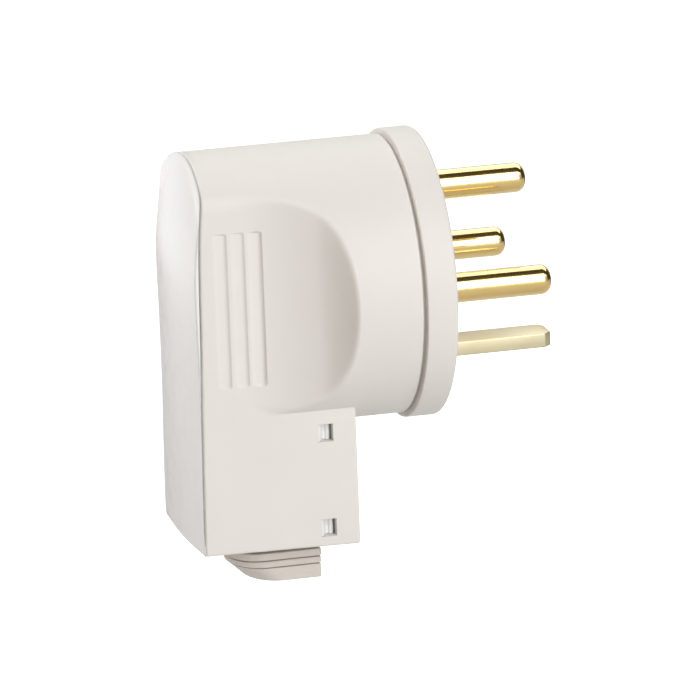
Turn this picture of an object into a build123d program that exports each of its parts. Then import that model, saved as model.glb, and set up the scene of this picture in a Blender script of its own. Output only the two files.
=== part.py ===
"""Right-angle rewirable plug with three round pins and a flat earth blade.

The origin is on the engagement face, where the plug's axis meets it. +X runs along the pins,
+Z is up and the cable leaves downwards. A setback is a distance behind the engagement face,
and a drop is a distance below the axis. All lengths are in millimetres.
"""
import os
from math import asin, cos, degrees, radians, sin, sqrt

from build123d import *

# Flange of the pin carrier and the shadow gap behind it
flange_overhang = 1.0
flange_thickness = 6.1
flange_edge_radius = 0.8
shadow_gap = 0.6
shadow_gap_depth = 1.0

# Moulded housing: a drum, and a flat-sided grip that runs down into the cable box
drum_radius = 27.1
wall = 2.4
box_floor = 1.5
grip_half_width = 16.4
box_setback = 18.1
box_drop = 48.6
housing_edge_radius = 0.5

# Rear seam: a slightly bowed surface that leans forward towards the top
seam_setback = 47.6
seam_lean = 2.1
seam_radius = 1750.0
seam_groove = 0.3
seam_groove_depth = 0.8

# Finger scoops, tangent to the flat sides, and the grip flutes sunk beside them
scoop_radius = 25.7
scoop_setback = 40.0
flute_count = 3
flute_setback = 40.1
flute_pitch = 3.6
flute_width = 2.4
flute_length = 29.8
flute_depth = 0.45
flute_floor_radius = 0.4

# Clip windows in the sides of the cable box
window_inset = 4.2
window_length = 3.5
window_height = 3.5
window_drum_overlap = 0.95
window_floor_gap = 3.6

# Rear cover: a crowned plate with a shallow dome behind the drum, and its snap arms
cover_rim = 0.2
cover_crown = 0.4
cover_dome = 2.0
cover_dome_reach = 25.0
cover_dome_height = 4.0
cover_insert = 1.4
cover_fit = 0.15
arm_thickness = 1.6
barb_flush = 0.1
barb_nose_depth = 1.5
barb_nose_gap = 0.8
barb_side_gap = 0.1
barb_catch_gap = 0.05

# Pin carrier behind the flange
carrier_web = 3.0
spigot_setback = 13.0
spigot_wall = 1.8
spigot_fit = 0.15
post_radius = 4.0
post_sink = 0.4
post_angle = 45.0

# Round pins
pin_radius = 2.9
pin_length = 21.3
pin_tip_radius = 1.9
pin_inset = 10.6
pin_seat_radius = 3.2
pin_fit = 0.05
collar_radius = 4.5
collar_thickness = 2.0
collar_fit = 0.1
tower_wall = 1.2
tail_radius = 3.7
tail_setback = 17.0

# Earth blade and its terminal block
blade_width = 7.6
blade_thickness = 2.8
blade_length = 24.8
blade_inset = 11.5
blade_tip_length = 1.6
blade_tip_depth = 0.8
blade_shoulder = 1.5
blade_fit = 0.1
blade_grip = 4.6
clamp_block_width = 10.6
clamp_block_height = 8.4
clamp_block_length = 11.0

# Terminals: a wire hole across each contact and a screw in its end
wire_hole_radius = 1.9
wire_hole_offset = 4.6
terminal_screw_gap = 1.2

# Pin retainer with crossed barriers between the terminals
retainer_thickness = 2.5
retainer_fit = 0.2
barrier_thickness = 1.6
barrier_gap = 1.7
barrier_length = 9.0
centre_post_radius = 3.8

# Screws: shank radius, head radius, head height
terminal_screw = (1.75, 2.8, 2.0)
assembly_screw = (1.5, 2.8, 2.0)
thread_gap = 0.05
shank_gap = 0.2
head_gap = 0.3
slot_width = 0.8
slot_depth = 0.9
carrier_screw_recess = 5.0
carrier_screw_length = 16.0
retainer_screw_length = 5.0
clamp_screw_length = 10.0

# Cable grommet: a spout of tiers with a flat front and a round, leaning back
spout_front_inset = 5.4
spout_length = 18.8
spout_half_width = 6.2
spout_top_height = 3.5
spout_upper_height = 1.8
spout_lower_height = 1.6
spout_end_height = 2.4
spout_tier_inset = 0.3
spout_lower_lean = 0.5
spout_end_lean = 1.0
spout_neck_depth = 0.8
spout_flange_rim = 0.6
spout_flange_thickness = 1.6
spout_fit = 0.1
cable_bore_radius = 3.6
cable_bore_inset = 6.8

# Cable clamp in the box: a bar on two posts, and a rest opposite
clamp_spread = 9.0
clamp_post_radius = 3.0
clamp_bar_height = 7.0
clamp_bar_thickness = 3.0
clamp_gap = 0.3
rest_half_width = 5.0
rest_height = 4.0

# Stations and radii that follow from the driving dimensions
flange_radius = drum_radius + flange_overhang
drum_setback = flange_thickness + shadow_gap
collar_setback = carrier_web + collar_thickness
retainer_setback = collar_setback + retainer_thickness
drum_bore_radius = drum_radius - wall
spigot_radius = drum_bore_radius - spigot_fit
carrier_bore_radius = spigot_radius - spigot_wall
post_circle_radius = drum_bore_radius + post_sink - post_radius
pin_circle_radius = drum_radius - pin_inset
blade_drop = drum_radius - blade_inset
barrier_reach = post_circle_radius - post_radius - barrier_gap
side_inner = grip_half_width - wall
window_setback = box_setback + window_inset
window_drops = (drum_radius - window_drum_overlap, box_drop - window_floor_gap)
clamp_drop = sum(window_drops) / 2
clamp_block_setback = retainer_setback + clamp_block_length
spout_front = box_setback + spout_front_inset
spout_tiers = (spout_top_height, spout_upper_height, spout_lower_height, spout_end_height)
spout_leans = (0.0, 0.0, spout_lower_lean, spout_end_lean)
cable_setback = spout_front + cable_bore_inset
clamp_setback = cable_setback + cable_bore_radius + clamp_gap
rest_setback = cable_setback - cable_bore_radius - clamp_gap
rear_reach = seam_setback + drum_radius
open_end = 2 * wall
pin_places = {
    "left": (-pin_circle_radius, 0.0),
    "top": (0.0, pin_circle_radius),
    "right": (pin_circle_radius, 0.0),
}
post_places = [
    (side * post_circle_radius * cos(radians(post_angle)), -post_circle_radius * sin(radians(post_angle)))
    for side in (-1, 1)
]
terminal_places = [(y, z, tail_setback) for y, z in pin_places.values()]
terminal_places.append((0.0, -blade_drop, clamp_block_setback))


def rod(radius, near, far, y=0.0, z=0.0):
    """Cylinder along the axis between two setbacks; a negative setback is ahead of the face."""
    return Pos(-(near + far) / 2, y, z) * Rot(0, 90, 0) * Cylinder(radius, far - near)


def block(near, far, half_width, bottom, top):
    """Box between two setbacks and two heights, centred on the middle plane."""
    centre = Pos(-(near + far) / 2, 0, (bottom + top) / 2)
    return centre * Box(far - near, 2 * half_width, top - bottom)


def scoop_plan(inset):
    """Plan of the grip: flat sides at the rear that open in a scoop to beyond the drum."""
    radius = scoop_radius + inset
    axis_y = grip_half_width + scoop_radius
    sweep = 90 + degrees(asin((drum_radius + wall - axis_y) / radius))
    rear = -2 * seam_setback
    with BuildSketch() as plan:
        with BuildLine():
            scoop = CenterArc((-scoop_setback, axis_y), radius, -90, sweep)
            Polyline(scoop @ 1, (0, (scoop @ 1).Y), (0, 0))
            Polyline(scoop @ 0, (rear, (scoop @ 0).Y), (rear, 0))
            mirror(about=Plane.XZ)
        make_face()
    return plan.sketch


def housing_form(inset, floor, near, far):
    """Outer form of drum, grip and cable box, drawn in by an inset, and by a floor at the bottom."""
    drum = rod(drum_radius - inset, near, far)
    grip = drum & extrude(scoop_plan(inset), drum_radius, both=True)
    return grip + block(box_setback + inset, far, grip_half_width - inset, floor - box_drop, 0)


def rear_prism(inset, floor):
    """The rear outline, drum arc over flat sides, carried along the axis through the seam."""
    half_width = grip_half_width - inset
    near, far = seam_setback - 2 * open_end, seam_setback + 2 * open_end
    arch = rod(drum_radius - inset, near, far) & block(near, far, half_width, 0, drum_radius)
    return arch + block(near, far, half_width, floor - box_drop, 0)


def seam_centre():
    """Centre of the seam's bow, as X and Z."""
    lean = radians(seam_lean)
    return seam_radius * cos(lean) - seam_setback, -seam_radius * sin(lean)


def seam_x(z):
    """X of the seam at a height."""
    x, height = seam_centre()
    return x - sqrt(seam_radius**2 - (z - height) ** 2)


def ahead_of_seam(offset):
    """Everything ahead of the seam, taken back by an offset."""
    x, z = seam_centre()
    return Pos(x, 0, z) * Rot(90, 0, 0) * Cylinder(seam_radius + offset, 4 * drum_radius)


def cover_back_form():
    """Everything ahead of the cover's crowned back and its dome."""
    x, z = seam_centre()
    bow = seam_radius + seam_groove + cover_rim + cover_crown
    crown = (grip_half_width**2 + cover_crown**2) / (2 * cover_crown)
    plate = Pos(x, 0, z) * Rot(90, 0, 0) * Torus(bow - crown, crown)
    apex = seam_x(cover_dome_height) - seam_groove - cover_rim - cover_dome
    dome_radius = (cover_dome_reach**2 + cover_dome**2) / (2 * cover_dome)
    return plate + Pos(apex + dome_radius, 0, cover_dome_height) * Sphere(dome_radius)


def spout_plan(half_width, front, back, height):
    """Plan of the grommet at a height: flat front, straight sides, round back."""
    with BuildSketch() as plan:
        with BuildLine():
            nose = CenterArc((half_width - back, 0), half_width, 90, 180)
            Polyline(nose @ 1, (-front, -half_width), (-front, half_width), nose @ 0)
        make_face()
    return Pos(0, 0, height) * plan.sketch


def spout_neck(growth):
    """The grommet's neck through the bottom wall of the box, grown all round."""
    inset = spout_neck_depth - growth
    back = spout_front + spout_length - inset
    plan = spout_plan(spout_half_width - inset, spout_front + inset, back, -box_drop)
    return extrude(plan, box_floor)


def screw(size, length, x, y, z, head_forward=True):
    """Slotted screw whose head seats at x, with its shank running the other way."""
    shank_radius, head_radius, head_height = size
    body = rod(head_radius, -head_height, 0) + rod(shank_radius, 0, length)
    body -= Pos(head_height, 0, 0) * Box(2 * slot_depth, slot_width, 2 * head_radius)
    turn = 0 if head_forward else 180
    return Pos(x, y, z) * Rot(0, 0, turn) * body


def grip_flutes():
    """Shallow flutes with rounded floors, to be sunk in both sides of the grip."""
    flutes = []
    for index in range(flute_count):
        setback = flute_setback + (index - (flute_count - 1) / 2) * flute_pitch
        root = Plane.XZ.offset(grip_half_width - flute_depth)
        slot = root * Pos(-setback, 0) * SlotOverall(flute_length, flute_width, rotation=90)
        flute = extrude(slot, wall)
        floor_rim = flute.faces().sort_by(Axis.Y)[-1].edges()
        flutes.append(fillet(floor_rim, flute_floor_radius))
    return flutes + [mirror(flute, about=Plane.XZ) for flute in flutes]


def make_main_housing():
    """Shell of drum, grip and box, open at the front and at the rear."""
    form = housing_form(0, 0, drum_setback, rear_reach) & ahead_of_seam(0)
    box_corners = form.edges().filter_by(Axis.Z).group_by(Axis.X)[-1]
    form = fillet(box_corners, housing_edge_radius)
    form = fillet(form.edges().group_by(Axis.Z)[0], housing_edge_radius)
    cavity = housing_form(wall, box_floor, drum_setback - open_end, rear_reach + open_end)
    shell = form - cavity
    for drop in window_drops:
        shell -= block(
            window_setback, window_setback + window_length, grip_half_width + wall,
            -drop - window_height / 2, window_height / 2 - drop,
        )
    shell -= spout_neck(spout_fit)
    shell -= grip_flutes()
    return shell + boss_group()


def boss_group():
    """Screw bosses for the carrier, and the posts and rest of the cable clamp."""
    shank_radius = assembly_screw[0] + thread_gap
    depth = carrier_screw_recess + carrier_screw_length
    bosses = []
    for y, z in post_places:
        boss = rod(post_radius, spigot_setback, depth + wall, y, z)
        bosses.append(boss - rod(shank_radius, 0, depth + thread_gap, y, z))
    for side in (-1, 1):
        y = side * clamp_spread
        post = rod(clamp_post_radius, box_setback + wall / 2, clamp_setback, y, -clamp_drop)
        pilot = clamp_setback + clamp_bar_thickness - clamp_screw_length - thread_gap
        bosses.append(post - rod(shank_radius, pilot, clamp_setback, y, -clamp_drop))
    rest_bottom = -clamp_drop - rest_height / 2
    bosses.append(
        block(box_setback + wall / 2, rest_setback, rest_half_width, rest_bottom, rest_bottom + rest_height)
    )
    return bosses


def snap_arm(drop):
    """Arm along the inside of the right-hand wall, with a barb in its window."""
    height = window_height / 2 - barb_side_gap
    outer = side_inner - cover_fit
    nose = -(window_setback + barb_nose_gap)
    catch = -(window_setback + window_length - barb_catch_gap)
    root = seam_x(-drop)
    inner = outer - arm_thickness
    with BuildSketch() as plan:
        with BuildLine():
            Polyline(
                (root, inner), (nose, inner), (nose, grip_half_width - barb_nose_depth),
                (catch, grip_half_width - barb_flush), (catch, outer), (root, outer), close=True,
            )
        make_face()
    return extrude(Pos(0, 0, -drop) * plan.sketch, height, both=True)


def make_rear_cover():
    """Crowned back plate that seats on the housing's end and snaps in with four arms."""
    cover = rear_prism(0, 0) - ahead_of_seam(seam_groove)
    cover += rear_prism(seam_groove_depth, seam_groove_depth) - ahead_of_seam(0)
    cover += rear_prism(wall + cover_fit, box_floor + cover_fit) - ahead_of_seam(-cover_insert)
    cover &= cover_back_form()
    arms = [snap_arm(drop) for drop in window_drops]
    return cover + arms + [mirror(arm, about=Plane.XZ) for arm in arms]


def make_pin_carrier():
    """Front piece: flange, spigot in the drum, seats for the contacts and screw posts."""
    flange = rod(flange_radius, 0, flange_thickness)
    flange = fillet(flange.edges().sort_by(Axis.X)[-1], flange_edge_radius)
    neck = rod(drum_radius - shadow_gap_depth, flange_thickness, drum_setback)
    spigot = rod(spigot_radius, drum_setback, spigot_setback)
    carrier = flange + neck + spigot - rod(carrier_bore_radius, carrier_web, spigot_setback)
    for y, z in post_places:
        post = rod(post_radius, carrier_web, spigot_setback, y, z)
        carrier += post & rod(spigot_radius, 0, spigot_setback)
    carrier += rod(centre_post_radius, carrier_web, collar_setback)
    seat_radius = collar_radius + collar_fit
    for y, z in pin_places.values():
        carrier += rod(seat_radius + tower_wall, carrier_web, collar_setback, y, z)
        carrier -= rod(seat_radius, carrier_web, collar_setback, y, z)
        carrier -= rod(pin_seat_radius + pin_fit, 0, carrier_web, y, z)
        carrier -= rod(tail_radius + retainer_fit, collar_setback, spigot_setback, y, z)
    side_room = blade_shoulder + blade_fit
    carrier += blade_pocket(side_room + tower_wall, tower_wall, carrier_web, collar_setback)
    carrier -= blade_pocket(side_room, blade_fit, carrier_web, collar_setback)
    carrier -= blade_pocket(blade_fit, blade_fit, 0, carrier_web)
    shank_radius, head_radius, _ = assembly_screw
    for y, z in post_places:
        carrier -= rod(head_radius + head_gap, 0, carrier_screw_recess, y, z)
        carrier -= rod(shank_radius + shank_gap, 0, spigot_setback, y, z)
    pilot = retainer_setback - retainer_screw_length - thread_gap
    return carrier - rod(shank_radius + thread_gap, pilot, collar_setback)


def blade_pocket(side_room, height_room, near, far):
    """Box round the earth blade's section, with room at its sides and above and below."""
    half_height = blade_thickness / 2 + height_room
    half_width = blade_width / 2 + side_room
    return block(near, far, half_width, -blade_drop - half_height, half_height - blade_drop)


def terminal_holes(y, z, end):
    """Wire hole across a terminal and the screw hole in its end."""
    wire = Pos(wire_hole_offset - end, y, z) * Cylinder(wire_hole_radius, 4 * tail_radius)
    return wire + rod(terminal_screw[0] + thread_gap, end - wire_hole_offset, end, y, z)


def make_round_pin(y, z):
    """Turned pin: domed tip, seat in the web, collar behind it and a drilled terminal tail."""
    shank = rod(pin_radius, -pin_length, 0, y, z)
    shank = fillet(shank.edges().sort_by(Axis.X)[-1], pin_tip_radius)
    seat = rod(pin_seat_radius, 0, carrier_web, y, z)
    collar = rod(collar_radius, carrier_web, collar_setback, y, z)
    tail = rod(tail_radius, collar_setback, tail_setback, y, z)
    return shank + seat + collar + tail - terminal_holes(y, z, tail_setback)


def make_earth_blade():
    """Flat blade with a bevelled tip, and shoulders that seat behind the web."""
    blade = blade_pocket(0, 0, -blade_length, retainer_setback + blade_grip)
    tip = blade.edges().filter_by(Axis.Y).group_by(Axis.X)[-1]
    end = blade.faces().sort_by(Axis.X)[-1]
    blade = chamfer(tip, blade_tip_depth, blade_tip_length, reference=end)
    return blade + blade_pocket(blade_shoulder, 0, carrier_web, collar_setback)


def make_earth_clamp():
    """Terminal block staked on the blade's tail."""
    body = block(
        retainer_setback, clamp_block_setback, clamp_block_width / 2,
        -blade_drop - clamp_block_height / 2, clamp_block_height / 2 - blade_drop,
    )
    body -= blade_pocket(blade_fit, blade_fit, retainer_setback, retainer_setback + blade_grip + blade_fit)
    return body - terminal_holes(0, -blade_drop, clamp_block_setback)


def make_pin_retainer():
    """Plate that traps collars and shoulders, with crossed barriers behind it."""
    plate = rod(carrier_bore_radius - retainer_fit, collar_setback, retainer_setback)
    half_barrier = barrier_thickness / 2
    barrier_end = retainer_setback + barrier_length
    barrier = block(retainer_setback, barrier_end, barrier_reach, -half_barrier, half_barrier)
    for angle in (-post_angle, post_angle):
        plate += Rot(angle, 0, 0) * barrier
    for y, z in pin_places.values():
        plate -= rod(tail_radius + retainer_fit, 0, tail_setback, y, z)
    for y, z in post_places:
        plate -= rod(post_radius + retainer_fit, 0, tail_setback, y, z)
    plate -= blade_pocket(retainer_fit, retainer_fit, 0, retainer_setback)
    shank_radius, head_radius, _ = assembly_screw
    plate -= rod(head_radius + head_gap, retainer_setback, retainer_setback + 2 * barrier_length)
    return plate - rod(shank_radius + shank_gap, 0, retainer_setback)


def make_cable_grommet():
    """Soft stepped spout, its neck in the bottom wall and its flange inside the box."""
    bore = Pos(-cable_setback, 0, -box_drop) * Cylinder(cable_bore_radius, 2 * box_drop)
    rim = spout_flange_rim
    back = spout_front + spout_length
    flange = spout_plan(spout_half_width + rim, spout_front - rim, back + rim, box_floor - box_drop)
    grommet = spout_neck(0) + extrude(flange, spout_flange_thickness)
    height = -box_drop
    drop = 0.0
    for index, tier in enumerate(spout_tiers):
        lean = spout_leans[index] * tier
        step = spout_tier_inset * index
        half_width = spout_half_width - step
        top = spout_plan(half_width, spout_front, back - step - drop, height)
        bottom = spout_plan(half_width, spout_front, back - step - drop - lean, height - tier)
        grommet += loft([top, bottom])
        height -= tier
        drop += lean
    return grommet - bore


def make_cable_clamp():
    """Bar with round ends that holds the cable against its rest."""
    length = 2 * (clamp_spread + clamp_post_radius)
    plan = Plane.YZ * Pos(0, -clamp_drop) * SlotOverall(length, clamp_bar_height)
    bar = Pos(-clamp_setback - clamp_bar_thickness, 0, 0) * extrude(plan, clamp_bar_thickness)
    for side in (-1, 1):
        y = side * clamp_spread
        bar -= rod(assembly_screw[0] + shank_gap, 0, 2 * clamp_setback, y, -clamp_drop)
    return bar


def make_terminal_screws():
    """One screw in the end of each contact, heads to the rear."""
    gap = terminal_screw_gap
    length = wire_hole_offset - wire_hole_radius + gap
    return [screw(terminal_screw, length, -end - gap, y, z, False) for y, z, end in terminal_places]


def make_carrier_screws():
    """Two screws recessed in the engagement face."""
    x = -carrier_screw_recess
    return [screw(assembly_screw, carrier_screw_length, x, y, z) for y, z in post_places]


def make_clamp_screws():
    """Two screws that draw the clamp bar onto its posts."""
    x = -clamp_setback - clamp_bar_thickness
    places = (-clamp_spread, clamp_spread)
    return [screw(assembly_screw, clamp_screw_length, x, y, -clamp_drop, False) for y in places]


def make_retainer_screw():
    """Screw through the middle of the retainer."""
    return screw(assembly_screw, retainer_screw_length, -retainer_setback, 0, 0, False)


def main():
    """Build every sub-part and write it."""
    nodes = {
        "main_housing": make_main_housing(),
        "rear_cover": make_rear_cover(),
        "pin_carrier": make_pin_carrier(),
        "earth_blade": make_earth_blade(),
        "earth_clamp": make_earth_clamp(),
        "pin_retainer": make_pin_retainer(),
        "retainer_screw": make_retainer_screw(),
        "terminal_screws": Compound(children=make_terminal_screws()),
        "carrier_screws": Compound(children=make_carrier_screws()),
        "cable_grommet": make_cable_grommet(),
        "cable_clamp": make_cable_clamp(),
        "clamp_screws": Compound(children=make_clamp_screws()),
    }
    for name, (y, z) in pin_places.items():
        nodes[f"round_pin_{name}"] = make_round_pin(y, z)
    os.makedirs("parts", exist_ok=True)
    for name, shape in nodes.items():
        export_step(shape, f"parts/{name}.step")


main()
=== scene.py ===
"""Dresses a right-angle plug that has three round pins and a flat earth blade.

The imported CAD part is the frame, and each piece is built in its place there. Arrays hold
millimetres in the CAD's axes: the origin is on the engagement face, +X runs along the pins,
+Z is up and -Y is the near side. Meshes are written in metres, with their objects at the origin.
"""
import logging
import math
from dataclasses import dataclass, field
from enum import Enum, IntEnum

import bpy
import numpy as np
from mathutils import Matrix, Vector, geometry


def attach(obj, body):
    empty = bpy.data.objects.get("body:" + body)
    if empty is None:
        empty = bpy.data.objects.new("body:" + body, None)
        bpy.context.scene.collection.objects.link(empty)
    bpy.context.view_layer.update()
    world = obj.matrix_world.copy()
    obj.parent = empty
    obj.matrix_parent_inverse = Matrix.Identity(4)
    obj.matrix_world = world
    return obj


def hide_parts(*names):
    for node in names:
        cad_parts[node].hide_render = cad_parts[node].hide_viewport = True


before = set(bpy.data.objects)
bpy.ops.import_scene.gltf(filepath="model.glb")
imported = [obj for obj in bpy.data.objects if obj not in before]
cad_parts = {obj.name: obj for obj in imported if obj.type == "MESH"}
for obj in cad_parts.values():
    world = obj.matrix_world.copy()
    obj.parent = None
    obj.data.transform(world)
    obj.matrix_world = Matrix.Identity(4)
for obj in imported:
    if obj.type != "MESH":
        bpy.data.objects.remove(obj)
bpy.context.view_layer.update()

Grid = np.ndarray
Pair = tuple[float, float]
Triple = tuple[float, float, float]
Socket = bpy.types.NodeSocket
Piece = bpy.types.Object
MM = 0.001
MERGE_MM = 0.0005
SAME_MM = 0.001
JOIN_MM = 0.000001
SHARP_ANGLE = math.radians(38)
HALVINGS = 40
NOISE_RANGE = (0.3, 0.7)
COARSE_DETAIL = 3.0
FINE_DETAIL = 2.0
BODY = "root"
log = logging.getLogger("plug")


class Slot(Enum):
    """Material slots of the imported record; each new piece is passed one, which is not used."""

    IVORY = "ivory_body"
    WHITE = "white_cover"
    PIN = "pin_brass"
    BLADE = "blade_brass"
    GROMMET = "grommet"


class Side(Enum):
    """The two halves of the plug, as the sign of Y."""

    NEAR = -1
    FAR = 1


class Ray(Enum):
    """Kinds of rays that a card of the studio can be shown to."""

    CAMERA = "camera"
    DIFFUSE = "diffuse"
    GLOSSY = "glossy"
    TRANSMISSION = "transmission"
    SCATTER = "volume_scatter"
    SHADOW = "shadow"


class Knot(IntEnum):
    """Corners of the housing's lower outline, counted from its crease with the drum."""

    UPPER_WINDOW = 2
    LOWER_WINDOW = 4
    CORNER = 6
    FLOOR = 7
    CABLE = 8


class Mix(IntEnum):
    """Numbers of a mix node's colour sockets, whose names repeat."""

    SHARE = 0
    RESULT = 2
    FIRST = 6
    SECOND = 7


def run(*knots: tuple[float, float, int]) -> Grid:
    """Joins even runs of numbers end to end.

    Args:
        knots: start, end and number of steps of each run; an end is left to the next run.

    Returns:
        The numbers, with the last run's end.
    """
    runs = [np.linspace(start, end, steps, endpoint=False) for start, end, steps in knots]
    return np.concatenate(runs + [np.array([knots[-1][1]], float)])


def quarter(steps: int) -> Grid:
    """Angles of a quarter turn, in so many even steps."""
    return np.radians(run((0.0, 90.0, steps)))


def whole_turn(count: int) -> Grid:
    """Angles of so many even points round a circle."""
    return np.linspace(0.0, 2.0 * math.pi, count, endpoint=False)


def smooth(share: Grid) -> Grid:
    """Eases 0 to 1 with level ends: three shares squared less two shares cubed."""
    share = np.clip(share, 0.0, 1.0)
    return share * share * (3.0 - 2.0 * share)


def rounded_min(first: Grid, second: Grid, radius: Grid | float) -> Grid:
    """Depth under two faces at once, with their shared edge rounded.

    Where both depths are less than the radius, the result is the radius less the hypotenuse of
    what each depth lacks of it. Elsewhere it is the smaller depth.

    Args:
        first: depth under one face.
        second: depth under the other.
        radius: depth at which the rounding starts.

    Returns:
        The joint depth.
    """
    both = np.hypot(np.maximum(radius - first, 0.0), np.maximum(radius - second, 0.0))
    near = (first < radius) & (second < radius)
    return np.where(near, radius - both, np.minimum(first, second))


class Skin:
    """Points and faces of one piece, gathered from grids, strips and flat polygons."""

    def __init__(self) -> None:
        """Starts with nothing."""
        self.points: list[Grid] = []
        self.quads: list[Grid] = []
        self.polygons: list[Grid] = []
        self.size = 0

    def place(self, points: Grid) -> Grid:
        """Takes up points.

        Args:
            points: any array of X, Y and Z in millimetres.

        Returns:
            The points' numbers, in the array's shape.
        """
        flat = np.asarray(points, float).reshape(-1, 3)
        numbers = np.arange(self.size, self.size + len(flat)).reshape(np.shape(points)[:-1])
        self.points.append(flat)
        self.size += len(flat)
        return numbers

    def sheet(self, numbers: Grid, keep: Grid | None = None) -> None:
        """Fills a grid of point numbers with quads.

        A quad runs from a point to the next row, then to the next column, so its normal is the
        row direction crossed with the column direction.

        Args:
            numbers: rows and columns of point numbers; a repeated first row or column closes it.
            keep: which quads to make, or all.
        """
        quads = np.stack(
            (numbers[:-1, :-1], numbers[1:, :-1], numbers[1:, 1:], numbers[:-1, 1:]), axis=-1
        )
        self.quads.append(quads.reshape(-1, 4) if keep is None else quads[keep])

    def tube(self, points: Grid, keep: Grid | None = None) -> Grid:
        """Adds rings that close on themselves.

        Args:
            points: rings of points, one a row.
            keep: which quads to make, or all.

        Returns:
            The points' numbers.
        """
        numbers = self.place(points)
        self.sheet(np.hstack((numbers, numbers[:, :1])), keep)
        return numbers

    def triangles(self, numbers: Grid) -> None:
        """Adds triangles, as quads whose last two corners are one."""
        self.quads.append(np.column_stack((numbers, numbers[:, 2])))

    def polygon(self, loop: Grid, facing: Grid | Triple) -> None:
        """Adds one flat face.

        Args:
            loop: the numbers of its corners in order.
            facing: a direction that it is turned to.
        """
        corners = np.concatenate(self.points)[loop]
        normal = np.cross(corners, np.roll(corners, -1, axis=0)).sum(axis=0)
        self.polygons.append(loop if normal @ np.asarray(facing, float) > 0 else loop[::-1])

    def merged(self) -> tuple[Grid, list[list[int]]]:
        """Joins points that coincide and drops the faces that this closes.

        Returns:
            Points in millimetres, and faces as lists of their numbers.
        """
        points = np.concatenate(self.points)
        cells = np.round(points / MERGE_MM).astype(np.int64)
        _, first, new = np.unique(cells, axis=0, return_index=True, return_inverse=True)
        new = new.reshape(-1)
        quads = new[np.concatenate(self.quads)]
        doubled = quads == np.roll(quads, -1, axis=1)
        lost = doubled.sum(axis=1)
        slim = lost == 1
        corners = (np.argmax(doubled[slim], axis=1)[:, None] + np.array([1, 2, 3])) % 4
        triangles = np.take_along_axis(quads[slim], corners, axis=1)
        faces = quads[lost == 0].tolist() + triangles.tolist()
        faces += [new[polygon].tolist() for polygon in self.polygons]
        return points[first], faces

    def piece(self, name: str, finish: "Finish", slot: Slot, *nodes: str) -> Piece:
        """Makes the mesh, dresses it and ties it to the frame.

        Args:
            name: the piece's name.
            finish: its finish.
            slot: its slot in the record; not used.
            nodes: the CAD nodes that it stands for.

        Returns:
            The new object.
        """
        points, faces = self.merged()
        mesh = bpy.data.meshes.new(name)
        mesh.from_pydata((points * MM).tolist(), [], faces)
        mesh.polygons.foreach_set("use_smooth", np.ones(len(mesh.polygons), bool))
        mesh.set_sharp_from_angle(angle=SHARP_ANGLE)
        mesh.materials.append(finish.material())
        mesh.update()
        made = bpy.data.objects.new(name, mesh)
        bpy.context.scene.collection.objects.link(made)
        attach(made, BODY)
        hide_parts(*nodes)
        log.info("%s: %d points, %d faces", name, len(points), len(faces))
        return made


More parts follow.
